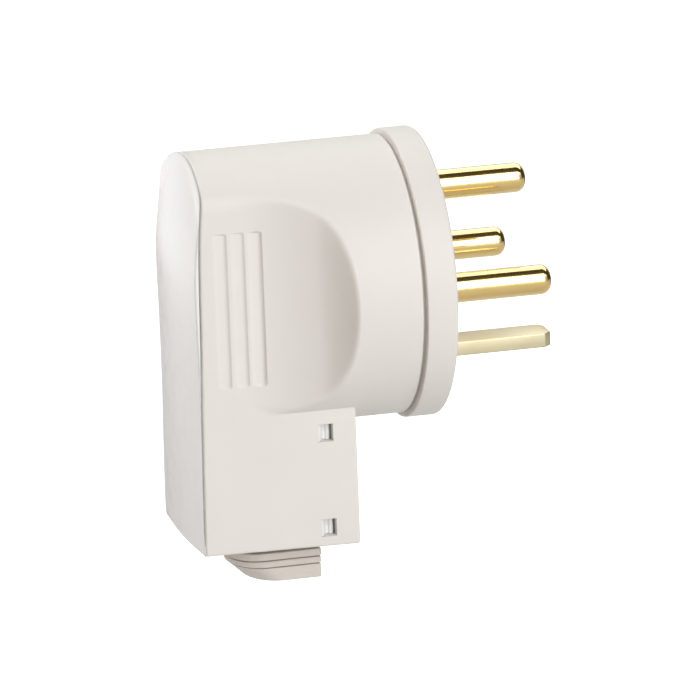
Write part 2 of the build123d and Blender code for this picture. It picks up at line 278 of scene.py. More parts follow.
class Nodes:
    """Short ways to put the node tree of a material or a world together."""

    def __init__(self, owner: bpy.types.Material | bpy.types.World) -> None:
        """Takes up the owner's tree.

        Args:
            owner: the material or world whose nodes are worked on.
        """
        owner.use_nodes = True
        self.tree = owner.node_tree

    @property
    def surface(self) -> bpy.types.NodeInputs:
        """Inputs of a material's Principled shader."""
        return self.tree.nodes["Principled BSDF"].inputs

    def fill(self, inputs: bpy.types.NodeInputs, values: dict[str | int, object]) -> None:
        """Sets or links inputs.

        Args:
            inputs: the inputs of a node.
            values: what each gets: a plain value, or the output that it is linked to.
        """
        for key, value in values.items():
            if isinstance(value, Socket):
                self.tree.links.new(value, inputs[key])
            else:
                inputs[key].default_value = value

    def add(self, kind: str, values: dict[str | int, object], **settings: object) -> bpy.types.NodeOutputs:
        """Adds a node.

        Args:
            kind: its type.
            values: what its inputs get.
            settings: its own settings.

        Returns:
            Its outputs.
        """
        node = self.tree.nodes.new(kind)
        for key, value in settings.items():
            setattr(node, key, value)
        self.fill(node.inputs, values)
        return node.outputs

    def place(self, space: str) -> Socket:
        """Coordinates in a space, such as Object."""
        return self.add("ShaderNodeTexCoord", {})[space]

    def noise(self, size_mm: float, detail: float, stretch: Triple = (1.0, 1.0, 1.0)) -> Socket:
        """Noise in the object's own space.

        Args:
            size_mm: the size of its largest lumps.
            detail: how many finer layers it has.
            stretch: how much closer the lumps lie along each axis.

        Returns:
            Its value, mostly within NOISE_RANGE.
        """
        turned = self.add("ShaderNodeMapping", {"Vector": self.place("Object"), "Scale": stretch})
        values = {"Vector": turned["Vector"], "Scale": 1.0 / (size_mm * MM), "Detail": detail}
        return self.add("ShaderNodeTexNoise", values)["Fac"]

    def ranged(self, value: Socket, source: Pair, target: Pair, curve: str = "LINEAR") -> Socket:
        """Maps one range of values to another, and holds what lies outside it at the ends.

        Args:
            value: what is mapped.
            source: the range's start and end.
            target: what they become.
            curve: how it runs between them.

        Returns:
            The new value.
        """
        values = {"Value": value, "From Min": source[0], "From Max": source[1]}
        values |= {"To Min": target[0], "To Max": target[1]}
        return self.add("ShaderNodeMapRange", values, interpolation_type=curve)["Result"]

    def tones(self, share: Socket, first: Triple, second: Triple, held: bool = True) -> Socket:
        """Mixes two tones.

        Args:
            share: how much of the second tone shows.
            first: a colour.
            second: another colour.
            held: whether the share is held between 0 and 1.

        Returns:
            The mixed colour.
        """
        values = {Mix.SHARE: share, Mix.FIRST: (*first, 1.0), Mix.SECOND: (*second, 1.0)}
        return self.add("ShaderNodeMix", values, data_type="RGBA", clamp_factor=held)[Mix.RESULT]

    def bump(self, height: Socket, depth_mm: float, strength: float) -> None:
        """Lifts the surface by a height, on top of what was lifted before.

        Args:
            height: the height pattern.
            depth_mm: how far it lifts at most.
            strength: how much of that shows.
        """
        values = {"Height": height, "Distance": depth_mm * MM, "Strength": strength}
        before = self.surface["Normal"]
        if before.is_linked:
            values["Normal"] = before.links[0].from_socket
        self.fill(self.surface, {"Normal": self.add("ShaderNodeBump", values)["Normal"]})

    def seen(self, shown: float, mirrored: Socket) -> Socket:
        """Gives a value to rays that show the surroundings, and 0 to those that only light.

        Args:
            shown: for rays from the camera and through glass.
            mirrored: for rays in reflections.

        Returns:
            The value.
        """
        rays = self.add("ShaderNodeLightPath", {})
        levels = {"Is Camera Ray": shown, "Is Transmission Ray": shown, "Is Glossy Ray": mirrored}
        value: Socket | float = 0.0
        for name, level in levels.items():
            values = {0: rays[name], 1: level, 2: value}
            value = self.add("ShaderNodeMath", values, operation="MULTIPLY_ADD")["Value"]
        return value


@dataclass(frozen=True)
class Finish:
    """A surface finish: its two tones, gloss and grain.

    Attributes:
        name: the material's name.
        tone: the main colour, linear.
        second: the colour of its faint clouds.
        gloss: lowest and highest roughness.
        grain_mm: size of its grain.
        grain_depth: how deep the grain is, in millimetres.
        specular: level of the plain reflection.
        metallic: 1 for a metal.
        coat: how much of a clear lacquer covers it.
        coat_gloss: the lacquer's roughness.
        cloud_mm: size of the clouds.
        patch_mm: size of the patches of gloss.
        grain_strength: how much of the grain shows.
    """

    name: str
    tone: Triple
    second: Triple
    gloss: Pair
    grain_mm: float
    grain_depth: float
    specular: float = 0.5
    metallic: float = 0.0
    coat: float = 0.0
    coat_gloss: float = 0.08
    cloud_mm: float = 14.0
    patch_mm: float = 3.0
    grain_strength: float = 0.5

    def material(self) -> bpy.types.Material:
        """Gives the material, made and dressed at the first call.

        Returns:
            The material.
        """
        made = bpy.data.materials.get(self.name)
        if made is None:
            made = bpy.data.materials.new(self.name)
            self.dress(Nodes(made))
        return made

    def dress(self, nodes: Nodes) -> None:
        """Puts clouds of two tones, patchy gloss and a fine grain on a new material.

        Args:
            nodes: the material's nodes.
        """
        clouds = nodes.ranged(nodes.noise(self.cloud_mm, COARSE_DETAIL), NOISE_RANGE, (0.0, 1.0))
        patches = nodes.ranged(nodes.noise(self.patch_mm, FINE_DETAIL), NOISE_RANGE, self.gloss)
        nodes.fill(nodes.surface, {
            "Base Color": nodes.tones(clouds, self.tone, self.second),
            "Roughness": patches,
            "Specular IOR Level": self.specular,
            "Metallic": self.metallic,
            "Coat Weight": self.coat,
            "Coat Roughness": self.coat_gloss,
        })
        nodes.bump(nodes.noise(self.grain_mm, FINE_DETAIL), self.grain_depth, self.grain_strength)


@dataclass(frozen=True)
class TurnedMetal(Finish):
    """A drawn or rolled metal, with fine marks along or round the X axis.

    Attributes:
        marks: how much closer the marks lie along X, Y and Z.
        mark_depth: how deep they are, in millimetres.
        mark_mm: their size.
        mark_strength: how much of them shows.
    """

    marks: Triple = (1.0, 1.0, 1.0)
    mark_depth: float = 0.002
    mark_mm: float = 2.0
    mark_strength: float = 0.4

    def dress(self, nodes: Nodes) -> None:
        """Adds the marks to the plain finish.

        Args:
            nodes: the material's nodes.
        """
        super().dress(nodes)
        marks = nodes.noise(self.mark_mm, COARSE_DETAIL, self.marks)
        nodes.bump(marks, self.mark_depth, self.mark_strength)


IVORY = Finish(
    "ivory_plastic", (0.795, 0.774, 0.738), (0.780, 0.759, 0.721), (0.42, 0.50), 0.35, 0.006, 0.32
)
WHITE = Finish(
    "white_plastic", (0.872, 0.884, 0.880), (0.857, 0.869, 0.865), (0.20, 0.26), 0.35, 0.0008, 0.45
)
INNER = Finish("inner_plastic", (0.70, 0.68, 0.64), (0.66, 0.64, 0.60), (0.45, 0.55), 0.3, 0.006)
SOFT = Finish(
    "grommet_soft_plastic", (0.755, 0.710, 0.660), (0.715, 0.67, 0.62), (0.48, 0.60), 0.3, 0.01, 0.35
)
BRASS = TurnedMetal(
    "polished_brass", (0.81, 0.60, 0.23), (0.75, 0.54, 0.19), (0.10, 0.16), 0.5, 0.002,
    metallic=1.0, coat=1.0, marks=(1.0, 9.0, 9.0), mark_depth=0.003,
)
PALE_BRASS = TurnedMetal(
    "rolled_pale_brass", (0.66, 0.60, 0.41), (0.58, 0.51, 0.33), (0.36, 0.48), 0.3, 0.006,
    metallic=1.0, marks=(0.6, 8.0, 8.0), mark_depth=0.006,
)
STEEL = TurnedMetal(
    "zinc_plated_steel", (0.62, 0.62, 0.63), (0.55, 0.55, 0.57), (0.28, 0.40), 0.4, 0.004,
    metallic=1.0, marks=(8.0, 1.0, 8.0), mark_depth=0.003,
)


@dataclass
class Seam:
    """The joint between housing and rear cover: slightly bowed, and leaning forward at the top.

    Attributes:
        setback, lean, radius: where its bow meets the axis, how far it leans, and its radius.
        top_z, top_bend: where the bend at the top starts, and how fast it grows.
        belly, belly_z, belly_reach: depth, middle and reach of the belly.
    """

    setback: float = 47.6
    lean: float = math.radians(2.1)
    radius: float = 1750.0
    top_z: float = 14.0
    top_bend: float = 0.0026
    belly: float = 0.32
    belly_z: float = 11.0
    belly_reach: float = 13.0

    def x(self, z: Grid, behind: float = 0.0) -> Grid:
        """X on the seam: a circle in the XZ plane with a soft belly, bent forward at the top.

        The belly is a bell curve round its middle. The bend grows with the square of the height
        above the level where it starts.

        Args:
            z: heights.
            behind: distance behind the seam.

        Returns:
            X at those heights.
        """
        middle_x = self.radius * math.cos(self.lean) - self.setback
        middle_z = -self.radius * math.sin(self.lean)
        bend = self.top_bend * np.maximum(z - self.top_z, 0.0) ** 2
        bend = bend - self.belly * np.exp(-(((z - self.belly_z) / self.belly_reach) ** 2))
        return middle_x - np.sqrt((self.radius + behind) ** 2 - (z - middle_z) ** 2) + bend


@dataclass
class MainHousing:
    """Moulded shell: a drum that runs back into a flat-sided grip and down into the cable box.

    Attributes:
        seam: its joint with the rear cover.
        bottom_x: where the bottom lies at its stated height, from which it slopes.
        scoop_steep: how fast the scoop gets steeper past scoop_steep_x.
        rim_round, rear_rim: rounding of the scoop's rim, ahead of rear_rim_x and behind it.
        flute_x: right edge of each flute.
        flute_ends: how much steeper a flute rises at its ends than at its right edge.
        flute_ease: how early a flute's floor drops; lower is earlier.
        flute_away: a floor so far out that it cuts nothing.
        beside_flute: places of sections, measured back from a flute's right edge.
        rear_x: X of the rear end, near enough for sections that then follow the seam.
        rear_rows: distances ahead of the seam of the sections behind the flutes.
        behind_flutes: X of the rearmost fixed section.
        grip_x: start of the plain sections, then where they close up, and their end.
        grip_steps: steps from that start to the windows' rear and front, where they close, and the end.
        face_shares: places of rings on the box's front, from its edge to the drum.
        drum_close, drum_x, drum_end: X of the drum's sections: near the box, on the way and last.
        drum_steps, inner_steps: steps along the drum, outside and inside.
        inner_x: X of further sections of the inside.
        box_away: an inset that leaves nothing of the box.
        arc_turns, arc_steps: directions round the drum in degrees, and the points between them.
        steps: points between the corners of the lower outline.
        crease_reach: how far below the crease with the drum a corner of it lies.
        corner_reach: reach of a bottom corner, for each millimetre of its edge's radius.
        round_steps: points on a rounded edge.
        search_reach: how far out the search for the skin starts, in drum radii.
    """

    seam: Seam
    drum_radius: float = 27.1
    drum_front: float = -6.7
    wall: float = 2.4
    floor: float = 1.5
    half_width: float = 16.4
    box_front: float = -18.1
    box_top: float = -18.0
    bottom: float = -48.6
    bottom_x: float = -33.0
    bottom_slope: float = -0.0155
    scoop_radius: float = 30.0
    scoop_x: float = -39.6
    scoop_steep: float = 0.075
    scoop_steep_x: float = -25.6
    rim_round: float = 0.65
    rear_rim: float = 1.9
    rear_rim_x: Pair = (-30.0, -40.0)
    edge_round: float = 0.5
    inner_round: float = 0.05
    rear_round: float = 0.4
    front_round: float = 0.3
    flute_x: tuple[float, ...] = (-42.0, -38.55, -35.3)
    flute_z: Pair = (-15.5, 14.85)
    flute_width: float = 2.7
    flute_depth: float = 0.43
    flute_round: float = 1.05
    flute_corner: float = 1.2
    flute_ends: float = 4.0
    flute_ease: float = 0.45
    flute_away: float = 54.2
    window_x: Pair = (-25.8, -22.75)
    window_z: tuple[Pair, Pair] = ((-24.4, -27.9), (-43.25, -46.75))
    cable_x: Pair = (-39.0, -24.6)
    cable_half_width: float = 4.2
    beside_flute: tuple[float, ...] = (
        2.75, 2.69, 2.1, 1.6, 1.2, 0.95, 0.8, 0.66, 0.54, 0.43, 0.33, 0.24, 0.16, 0.09, 0.03, -0.04, -0.12
    )
    rear_x: float = -46.0
    rear_rows: Pair = (0.6, 0.85)
    behind_flutes: float = -45.3
    grip_x: Triple = (-35.0, -20.6, -18.65)
    grip_steps: tuple[int, ...] = (26, 11, 7, 15)
    face_shares: Triple = (0.03, 0.5, 0.97)
    drum_close: Pair = (-17.95, -17.7)
    drum_x: Pair = (-17.0, -8.0)
    drum_end: float = -7.3
    drum_steps: int = 5
    inner_steps: int = 7
    inner_x: Triple = (-30.0, -34.0, -42.0)
    box_away: float = 1000.0
    arc_turns: tuple[float, ...] = (90.0, 64.0, 43.2, 40.6, -41.6, -44.2)
    arc_steps: tuple[int, ...] = (20, 28, 20, 94, 16, 10)
    steps: tuple[int, ...] = (3, 5, 5, 11, 5, 3, 9, 9, 5)
    crease_reach: float = 0.6
    corner_reach: float = 1.2
    round_steps: int = 5
    search_reach: float = 3.0

    def flute_floor(self, x: Grid, z: Grid) -> Grid:
        """How far out the flutes' floors lie, with no limit outside them.

        A flute's floor leaves the side at its left edge and slopes inwards to the right. Near its
        right edge and its two ends it rises along a quarter circle, steeper at the ends, and
        the corners between them are round in plan.

        Args:
            x: X of points.
            z: Z of points.

        Returns:
            The least Y of a floor there.
        """
        low, high = self.flute_z
        ends = self.flute_ends * np.minimum(high - z, z - low)
        floors = []
        for right in self.flute_x:
            start = self.side(right - self.flute_width)
            share = np.clip(1.0 - (right - x) / self.flute_width, 0.0, 1.0)
            short_x = np.maximum(self.flute_corner - (right - x), 0.0)
            inside = self.flute_corner - np.hypot(short_x, np.maximum(self.flute_corner - ends, 0.0))
            short = np.clip(self.flute_round - inside, 0.0, self.flute_round)
            rise = self.flute_round - np.sqrt(self.flute_round**2 - short**2)
            floor = start - self.flute_depth * share**self.flute_ease + rise
            floors.append(np.where((share > 0.0) & (inside > 0.0), floor, self.flute_away))
        return np.minimum.reduce(np.broadcast_arrays(*floors))

    def side(self, x: float) -> float:
        """Y of the grip's side: flat, then the scoop's circle."""
        ahead = max(x - self.scoop_x, 0.0)
        return self.half_width + self.scoop_radius - math.sqrt(self.scoop_radius**2 - ahead**2)

    def depth(self, row: tuple[Grid, ...], y: Grid, z: Grid) -> Grid:
        """How deep points of the +Y half lie under the skin.

        The grip is the drum cut by an upright scoop that is tangent to the flat side, with their
        rim rounded. The scoop is a circle in plan, and steeper than that near its front end. The
        box is a rounded corner of two planes below it. The deeper of the two counts, which joins
        them.

        Args:
            row: X of points, how far drum and grip are drawn in, how far the box's sides and its
                bottom are, and the radius of its bottom edges.
            y: Y of points.
            z: Z of points.

        Returns:
            The depths, above 0 inside.
        """
        x, inset, box_inset, floor_inset, edge = row
        drum = self.drum_radius - np.hypot(y, z) - inset
        ahead = np.maximum(x - self.scoop_x, 0.0)
        steep = self.scoop_steep * np.maximum(x - self.scoop_steep_x, 0.0) ** 2
        middle = self.half_width + self.scoop_radius + steep
        side = np.hypot(ahead, middle - y) - self.scoop_radius - inset
        fluted = np.where(inset < self.wall / 2, self.flute_floor(x, z) - y - inset, side)
        rear = smooth((self.rear_rim_x[0] - x) / (self.rear_rim_x[0] - self.rear_rim_x[1]))
        rim = self.rim_round + (self.rear_rim - self.rim_round) * rear
        grip = rounded_min(drum, np.minimum(side, fluted), rim)
        bottom = self.bottom + self.bottom_slope * (x - self.bottom_x)
        box = rounded_min(self.half_width - y - box_inset, z - bottom - floor_inset, edge)
        return np.maximum(grip, np.minimum(box, self.box_top - z))

    def radii(self, rows: Grid, angles: Grid) -> Grid:
        """Distance from the axis to the skin, found by halving.

        The range from the axis to far outside is halved, and the half that holds the skin is kept,
        again and again.

        Args:
            rows: what depth() takes as a row, for each section.
            angles: directions round the axis, from +Y towards +Z.

        Returns:
            One row of distances a section.
        """
        row = tuple(column[:, None] for column in rows.T)
        low = np.zeros((len(rows), len(angles)))
        high = np.full(low.shape, self.search_reach * self.drum_radius)
        for _ in range(HALVINGS):
            middle = (low + high) / 2.0
            inside = self.depth(row, middle * np.cos(angles), middle * np.sin(angles)) > 0.0
            low, high = np.where(inside, middle, low), np.where(inside, high, middle)
        return low

    def angles(self, inset: float, floor: float, edge: float) -> Grid:
        """Directions of the outline's points, from the top round the +Y side to the bottom.

        Args:
            inset: how far the outline is drawn in.
            floor: how far its bottom is drawn in.
            edge: radius of its bottom edges.

        Returns:
            The angles, with points on the edges of the windows and of the cable hole.
        """
        width, bottom = self.half_width - inset, self.bottom + floor
        crease = -math.sqrt((self.drum_radius - inset) ** 2 - width**2)
        high, low = self.window_z
        reach = self.corner_reach * edge
        knots = np.array([
            (width, crease), (width, crease - self.crease_reach),
            (width, high[0]), (width, high[1]), (width, low[0]), (width, low[1]),
            (width, bottom + reach), (width - reach, bottom),
            (self.cable_half_width, bottom), (0.0, bottom),
        ])
        share = [np.linspace(0.0, 1.0, steps, endpoint=False)[:, None] for steps in self.steps]
        path = [a + (b - a) * t for a, b, t in zip(knots[:-1], knots[1:], share)]
        path = np.concatenate(path + [knots[-1:]])
        turns = (*self.arc_turns, math.degrees(math.atan2(crease, width)))
        arc = run(*zip(turns[:-1], turns[1:], self.arc_steps))
        return np.concatenate((np.radians(arc[:-1]), np.arctan2(path[:, 1], path[:, 0])))

    def column(self, knot: int) -> int:
        """Number of the outline's point at a knot of its lower part."""
        return sum(self.arc_steps) + sum(self.steps[:knot])

    def corners(self, whole: int) -> tuple[slice, slice]:
        """Columns of the two bottom corners in a ring of so many points."""
        first, last = self.column(Knot.CORNER), self.column(Knot.FLOOR)
        return slice(first, last + 1), slice(whole - last, whole - first + 1)

    def full_round(self, x: Grid, radii: Grid, angles: Grid) -> Grid:
        """Points of whole rings from their +Y half, which is mirrored.

        Y and Z are the distance times the cosine and the sine of the direction.

        Args:
            x: X of the points of the half.
            radii: their distance from the axis.
            angles: their directions.

        Returns:
            Rings of points, closed past their last one.
        """
        y, z = radii * np.cos(angles), radii * np.sin(angles)
        half = np.stack((np.broadcast_to(x, y.shape), y, z), axis=-1)
        other = half[:, -2:0:-1] * np.array([1.0, -1.0, 1.0])
        return np.concatenate((half, other), axis=1)

    def sections(self) -> Grid:
        """X of the fixed sections of the grip, close at the flutes and at the scoops' front ends.

        Returns:
            X from behind the flutes to the box's front edge.
        """
        start, close, end = self.grip_x
        places = (start, *self.window_x, close, end)
        plain = run(*zip(places[:-1], places[1:], self.grip_steps))
        flutes = [right - np.array(self.beside_flute) for right in self.flute_x]
        x = np.concatenate((*flutes, plain, self.cable_x, [self.behind_flutes]))
        return np.unique(np.round(x, 4))

    def outer_rows(self) -> tuple[Grid, Grid]:
        """Sections of the outside, from the rear edge to the box's front edge.

        Returns:
            Rows for radii(), and how far each lies ahead of the seam, or -1 where its X is fixed.
        """
        turn = quarter(self.round_steps)
        fixed = self.sections()
        edge_in = np.concatenate((self.rear_round * (1.0 - np.sin(turn)), np.zeros(len(self.rear_rows))))
        from_seam = np.concatenate((self.rear_round * (1.0 - np.cos(turn)), self.rear_rows))
        corner = turn[1:]
        corner_x = self.box_front - self.edge_round * (1.0 - np.sin(corner))
        corner_in = self.edge_round * (1.0 - np.cos(corner))
        x = np.concatenate((np.full(len(from_seam), self.rear_x), fixed, corner_x))
        inset = np.concatenate((edge_in, np.zeros(len(fixed) + len(corner))))
        box = np.concatenate((edge_in, np.zeros(len(fixed)), corner_in))
        rows = np.stack((x, inset, box, box, np.full(len(x), self.edge_round)), axis=1)
        return rows, np.concatenate((from_seam, np.full(len(fixed) + len(corner), -1.0)))

    def drum_rows(self) -> Grid:
        """Sections of the drum ahead of the box, up to its rounded front edge.

        Returns:
            Rows for radii(), with the box drawn in until nothing of it is left.
        """
        turn = quarter(self.round_steps)
        x = np.concatenate((
            [self.box_front, *self.drum_close], run((*self.drum_x, self.drum_steps)), [self.drum_end],
            self.drum_front - self.front_round * (1.0 - np.sin(turn)),
        ))
        inset = np.concatenate((np.zeros(len(x) - len(turn)), self.front_round * (1.0 - np.cos(turn))))
        away = np.full(len(x), self.box_away)
        return np.stack((x, inset, away, away, np.full(len(x), self.edge_round)), axis=1)

    def inner_rows(self) -> Grid:
        """Sections of the inside, from the front to the rear.

        Returns:
            Rows for radii(), without the box ahead of its front wall.
        """
        wall_x = self.box_front - self.wall
        front = run((self.drum_front, wall_x, self.inner_steps))
        rear = np.sort((wall_x, *self.window_x, *self.cable_x, *self.inner_x, self.rear_x))[::-1]
        x = np.concatenate((front, rear))
        box = np.concatenate((np.full(len(front), self.box_away), np.full(len(rear), self.wall)))
        floor = np.where(box > self.wall, box, self.floor)
        wall, edge = np.full(len(x), self.wall), np.full(len(x), self.inner_round)
        return np.stack((x, wall, box, floor, edge), axis=1)

    def rings(self) -> tuple[Grid, Grid, int]:
        """Rings that run forward outside and back inside.

        Returns:
            Rings of points, the X that each section was made for, and how many are outside.
        """
        outer_angles = self.angles(0.0, 0.0, self.edge_round)
        inner_angles = self.angles(self.wall, self.floor, self.inner_round)
        grip, ahead = self.outer_rows()
        drum, inside = self.drum_rows(), self.inner_rows()
        radii = self.radii(grip, outer_angles)
        seam_x = self.seam.x(radii * np.sin(outer_angles)) + ahead[:, None]
        grip_x = np.where(ahead[:, None] >= 0.0, seam_x, grip[:, :1])
        drum_radii = self.radii(drum, outer_angles)
        share = np.array(self.face_shares)[:, None]
        face = radii[-1] * (1.0 - share) + drum_radii[0] * share
        face_x = np.full((len(face), 1), self.box_front)
        inner_radii = self.radii(inside, inner_angles)
        inner_x = np.broadcast_to(inside[:, :1], inner_radii.shape).copy()
        inner_x[-1] = self.seam.x(inner_radii[-1] * np.sin(inner_angles))
        rings = np.concatenate((
            self.full_round(grip_x, radii, outer_angles),
            self.full_round(face_x, face, outer_angles),
            self.full_round(drum[:, :1], drum_radii, outer_angles),
            self.full_round(inner_x, inner_radii, inner_angles),
        ))
        row_x = np.concatenate((grip[:, 0], face_x[:, 0], drum[:, 0], inside[:, 0]))
        return rings, row_x, len(row_x) - len(inside)

    def opening(
        self, skin: Skin, numbers: Grid, keep: Grid, x: Pair, columns: tuple[int, int],
        row_x: Grid, outside: int,
    ) -> None:
        """Cuts a square opening through the wall and lines it with four flat faces.

        Args:
            skin: where the faces go.
            numbers: point numbers of the closed rings.
            keep: quads that are kept; those of the opening are struck out.
            x: X of its rear and front edges.
            columns: first and last column of points on its edges.
            row_x: X of each ring.
            outside: how many rings are on the outside.
        """
        near = np.abs(row_x - np.array(x)[:, None]) < SAME_MM
        outer = [int(np.flatnonzero(hit[:outside])[0]) for hit in near]
        inner = [outside + int(np.flatnonzero(hit[outside:])[0]) for hit in near]
        first, last = columns
        keep[outer[0]:outer[1], first:last] = False
        keep[inner[1]:inner[0], first:last] = False
        points = np.concatenate(skin.points)
        middle = points[numbers[np.ix_(outer + inner, [first, last])]].reshape(-1, 3).mean(axis=0)
        span = np.arange(first, last + 1)
        loops = [np.concatenate((numbers[o, span], numbers[i, span][::-1])) for o, i in zip(outer, inner)]
        rows_out, rows_in = np.arange(outer[0], outer[1] + 1), np.arange(inner[1], inner[0] + 1)
        loops += [np.concatenate((numbers[rows_out, c], numbers[rows_in, c])) for c in columns]
        for loop in loops:
            skin.polygon(loop, middle - points[loop].mean(axis=0))

    def build(self) -> Piece:
        """Joins the rings to a shell, and cuts the clip windows and the cable hole.

        Returns:
            The housing.
        """
        rings, row_x, outside = self.rings()
        skin = Skin()
        numbers = skin.place(rings)
        numbers = np.vstack((numbers, numbers[:1]))
        numbers = np.hstack((numbers, numbers[:, :1]))
        keep = np.ones((numbers.shape[0] - 1, numbers.shape[1] - 1), bool)
        whole = rings.shape[1]
        for knot in (Knot.UPPER_WINDOW, Knot.LOWER_WINDOW):
            columns = (self.column(knot), self.column(knot + 1))
            mirrored = (whole - columns[1], whole - columns[0])
            for pair in (columns, mirrored):
                self.opening(skin, numbers, keep, self.window_x, pair, row_x, outside)
        cable = self.column(Knot.CABLE)
        self.opening(skin, numbers, keep, self.cable_x, (cable, whole - cable), row_x, outside)
        skin.sheet(numbers, keep)
        return skin.piece("housing_shell", IVORY, Slot.IVORY, "main_housing")


@dataclass
class RearCover:
    """Crowned back plate with a lip inside the housing and four snap arms.

    Attributes:
        housing: the shell that it closes.
        groove: gap between the plate's edge and the shell.
        rim, crown, ridge: how far the back stands out at its edge, across and along its middle.
        slopes: fall of the back above and below the ridge.
        low_level, low_blend: the level stretch at the foot of the back, and how softly it starts.
        blend: how softly the slopes meet in the ridge.
        thinnest: the least that the back stands out.
        edge_ratio: how much further in the edge's rounding starts at the top and the bottom.
        top_round: where the top's wider rounding starts, and how far it takes to come in.
        top_close, low_close: where the groove narrows, and how far it takes.
        closed: how much of it is lost there.
        seat: how far the plate's underside stays off the shell.
        lip_shares: sizes of the rings on the lip's flat face.
        bead, bead_power: radius of a barb's round nose, and how full it is; lower is fuller.
        ramp_end: how far behind and under the nose a barb's ramp ends.
        arm_draw: how much an arm's plan shrinks at its ends.
    """

    housing: MainHousing
    groove: float = 0.32
    groove_depth: float = 1.0
    groove_lip: float = 0.06
    rim: float = 0.12
    crown: float = 0.85
    ridge: float = 0.84
    ridge_z: float = 7.0
    slopes: Pair = (0.09, 0.035)
    low_level: float = -0.12
    low_blend: float = 0.3
    blend: float = 0.5
    thinnest: float = 0.08
    back_steps: int = 24
    edge_steps: int = 6
    edge_width: float = 0.5
    edge_ratio: float = 4.0
    edge_drop: float = 0.3
    edge_least: float = 0.02
    top_round: Pair = (15.0, 7.0)
    top_close: Pair = (17.0, 7.0)
    low_close: Pair = (-43.5, 4.0)
    closed: Pair = (0.4, 0.85)
    seat: float = 0.01
    lip_inset: float = 2.55
    lip_floor: float = 1.65
    lip_length: float = 1.4
    lip_shares: Triple = (1.0, 0.5, 0.0)
    arm_out: float = 13.85
    arm_in: float = 12.25
    arm_root: float = 0.5
    arm_half_height: float = 1.65
    arm_heights: Pair = (-26.15, -45.0)
    arm_shares: tuple[float, ...] = (-1.0, -0.92, 0.92, 1.0)
    arm_draw: tuple[float, ...] = (0.015, 0.0, 0.0, 0.015)
    barb_catch: float = -25.75
    barb_nose: float = -23.22
    barb_top: float = 16.3
    barb_low: float = 14.6
    bead: float = 0.35
    bead_power: float = 0.5
    bead_steps: int = 8
    ramp_end: Pair = (0.15, 0.2)
    ramp_steps: int = 8
    foot_end: float = -22.9
    foot_out: float = 14.2

    def behind(self, outline: Grid) -> Grid:
        """How far the back lies behind the seam.

        The back is crowned across its width. Along its height two slopes meet in a soft ridge
        above the middle: the result is the lower of the two, less a part that fades away from
        the ridge. The long lower slope ends in a level stretch.

        Args:
            outline: Y and Z of points.

        Returns:
            The distances.
        """
        y, z = outline[:, 0], outline[:, 1]
        crown = self.crown * (1.0 - (y / self.housing.half_width) ** 2)
        upper = self.ridge - self.slopes[0] * (z - self.ridge_z)
        lower = self.ridge - self.slopes[1] * (self.ridge_z - z)
        lower = (lower + self.low_level + np.hypot(lower - self.low_level, self.low_blend)) / 2.0
        ridge = (upper + lower - np.hypot(upper - lower, self.blend)) / 2.0
        return self.groove + np.maximum(self.rim + crown + ridge, self.thinnest)

    def level(self, outline: Grid) -> Grid:
        """How far behind the seam the edge's underside lies: less at the top and the bottom.

        It is the groove less two shares of it, which are eased in towards those ends.

        Args:
            outline: Y and Z of points.

        Returns:
            The distances.
        """
        z = outline[:, 1]
        top = smooth((z - self.top_close[0]) / self.top_close[1])
        low = smooth((self.low_close[0] - z) / self.low_close[1])
        return self.groove * (1.0 - self.closed[0] * top - self.closed[1] * low)

    def ring(self, outline: Grid, behind: Grid | float) -> Grid:
        """Points of an outline at a distance behind the seam.

        Args:
            outline: Y and Z of its points.
            behind: the distance, ahead of the seam where it is below 0.

        Returns:
            X, Y and Z of its points.
        """
        x = self.housing.seam.x(outline[:, 1], np.asarray(behind, float))
        return np.column_stack((x, outline))

    def outline(self, inset: float, floor: float) -> Grid:
        """Outline of the housing's rear end, drawn in.

        Args:
            inset: how far sides and top are drawn in.
            floor: how far the bottom is drawn in.

        Returns:
            Y and Z of its points, all round.
        """
        house = self.housing
        angles = house.angles(inset, floor, house.edge_round)
        row = np.array([[house.rear_x, inset, inset, floor, house.edge_round]])
        return house.full_round(row[:, :1], house.radii(row, angles), angles)[0, :, 1:]

    def edge_outline(self, inset: float) -> Grid:
        """Outline of the back's rounded edge, drawn in further at the bottom and towards the top.

        Args:
            inset: how far the sides are drawn in.

        Returns:
            Y and Z of its points, all round.
        """
        further = self.edge_ratio * inset
        plain, drawn = self.outline(inset, further), self.outline(further, further)
        start, reach = self.top_round
        return plain + (drawn - plain) * smooth((plain[:, 1:] - start) / reach)

    def arm_plan(self, height: float) -> Grid:
        """Plan of an arm on the +Y side: its shank, a ramp that eases to a round nose, and a foot.

        Along the ramp X runs evenly while Y is eased. The nose is half a circle, whose sine is
        raised to a power.

        Args:
            height: the middle of the arm, where it meets the plate.

        Returns:
            X and Y of its points.
        """
        turn = np.radians(run((180.0, 0.0, self.bead_steps)))
        bead_x = (self.barb_nose - self.bead) + self.bead * np.cos(turn)
        bead_y = self.barb_low + self.bead * np.sin(turn) ** self.bead_power
        share = run((0.0, 1.0, self.ramp_steps))[:, None]
        start = np.array([self.barb_catch, self.barb_top])
        end = np.array([bead_x[0] - self.ramp_end[0], self.barb_low - self.ramp_end[1]])
        ramp = start + (end - start) * np.hstack((share, smooth(share)))
        root = float(self.housing.seam.x(np.array(height))) + self.arm_root
        return np.concatenate((
            [(root, self.arm_in), (root, self.arm_out), (self.barb_catch, self.arm_out)],
            ramp, np.column_stack((bead_x, bead_y)),
            [(self.barb_nose, self.foot_out), (self.foot_end, self.foot_out), (self.foot_end, self.arm_in)],
        ))

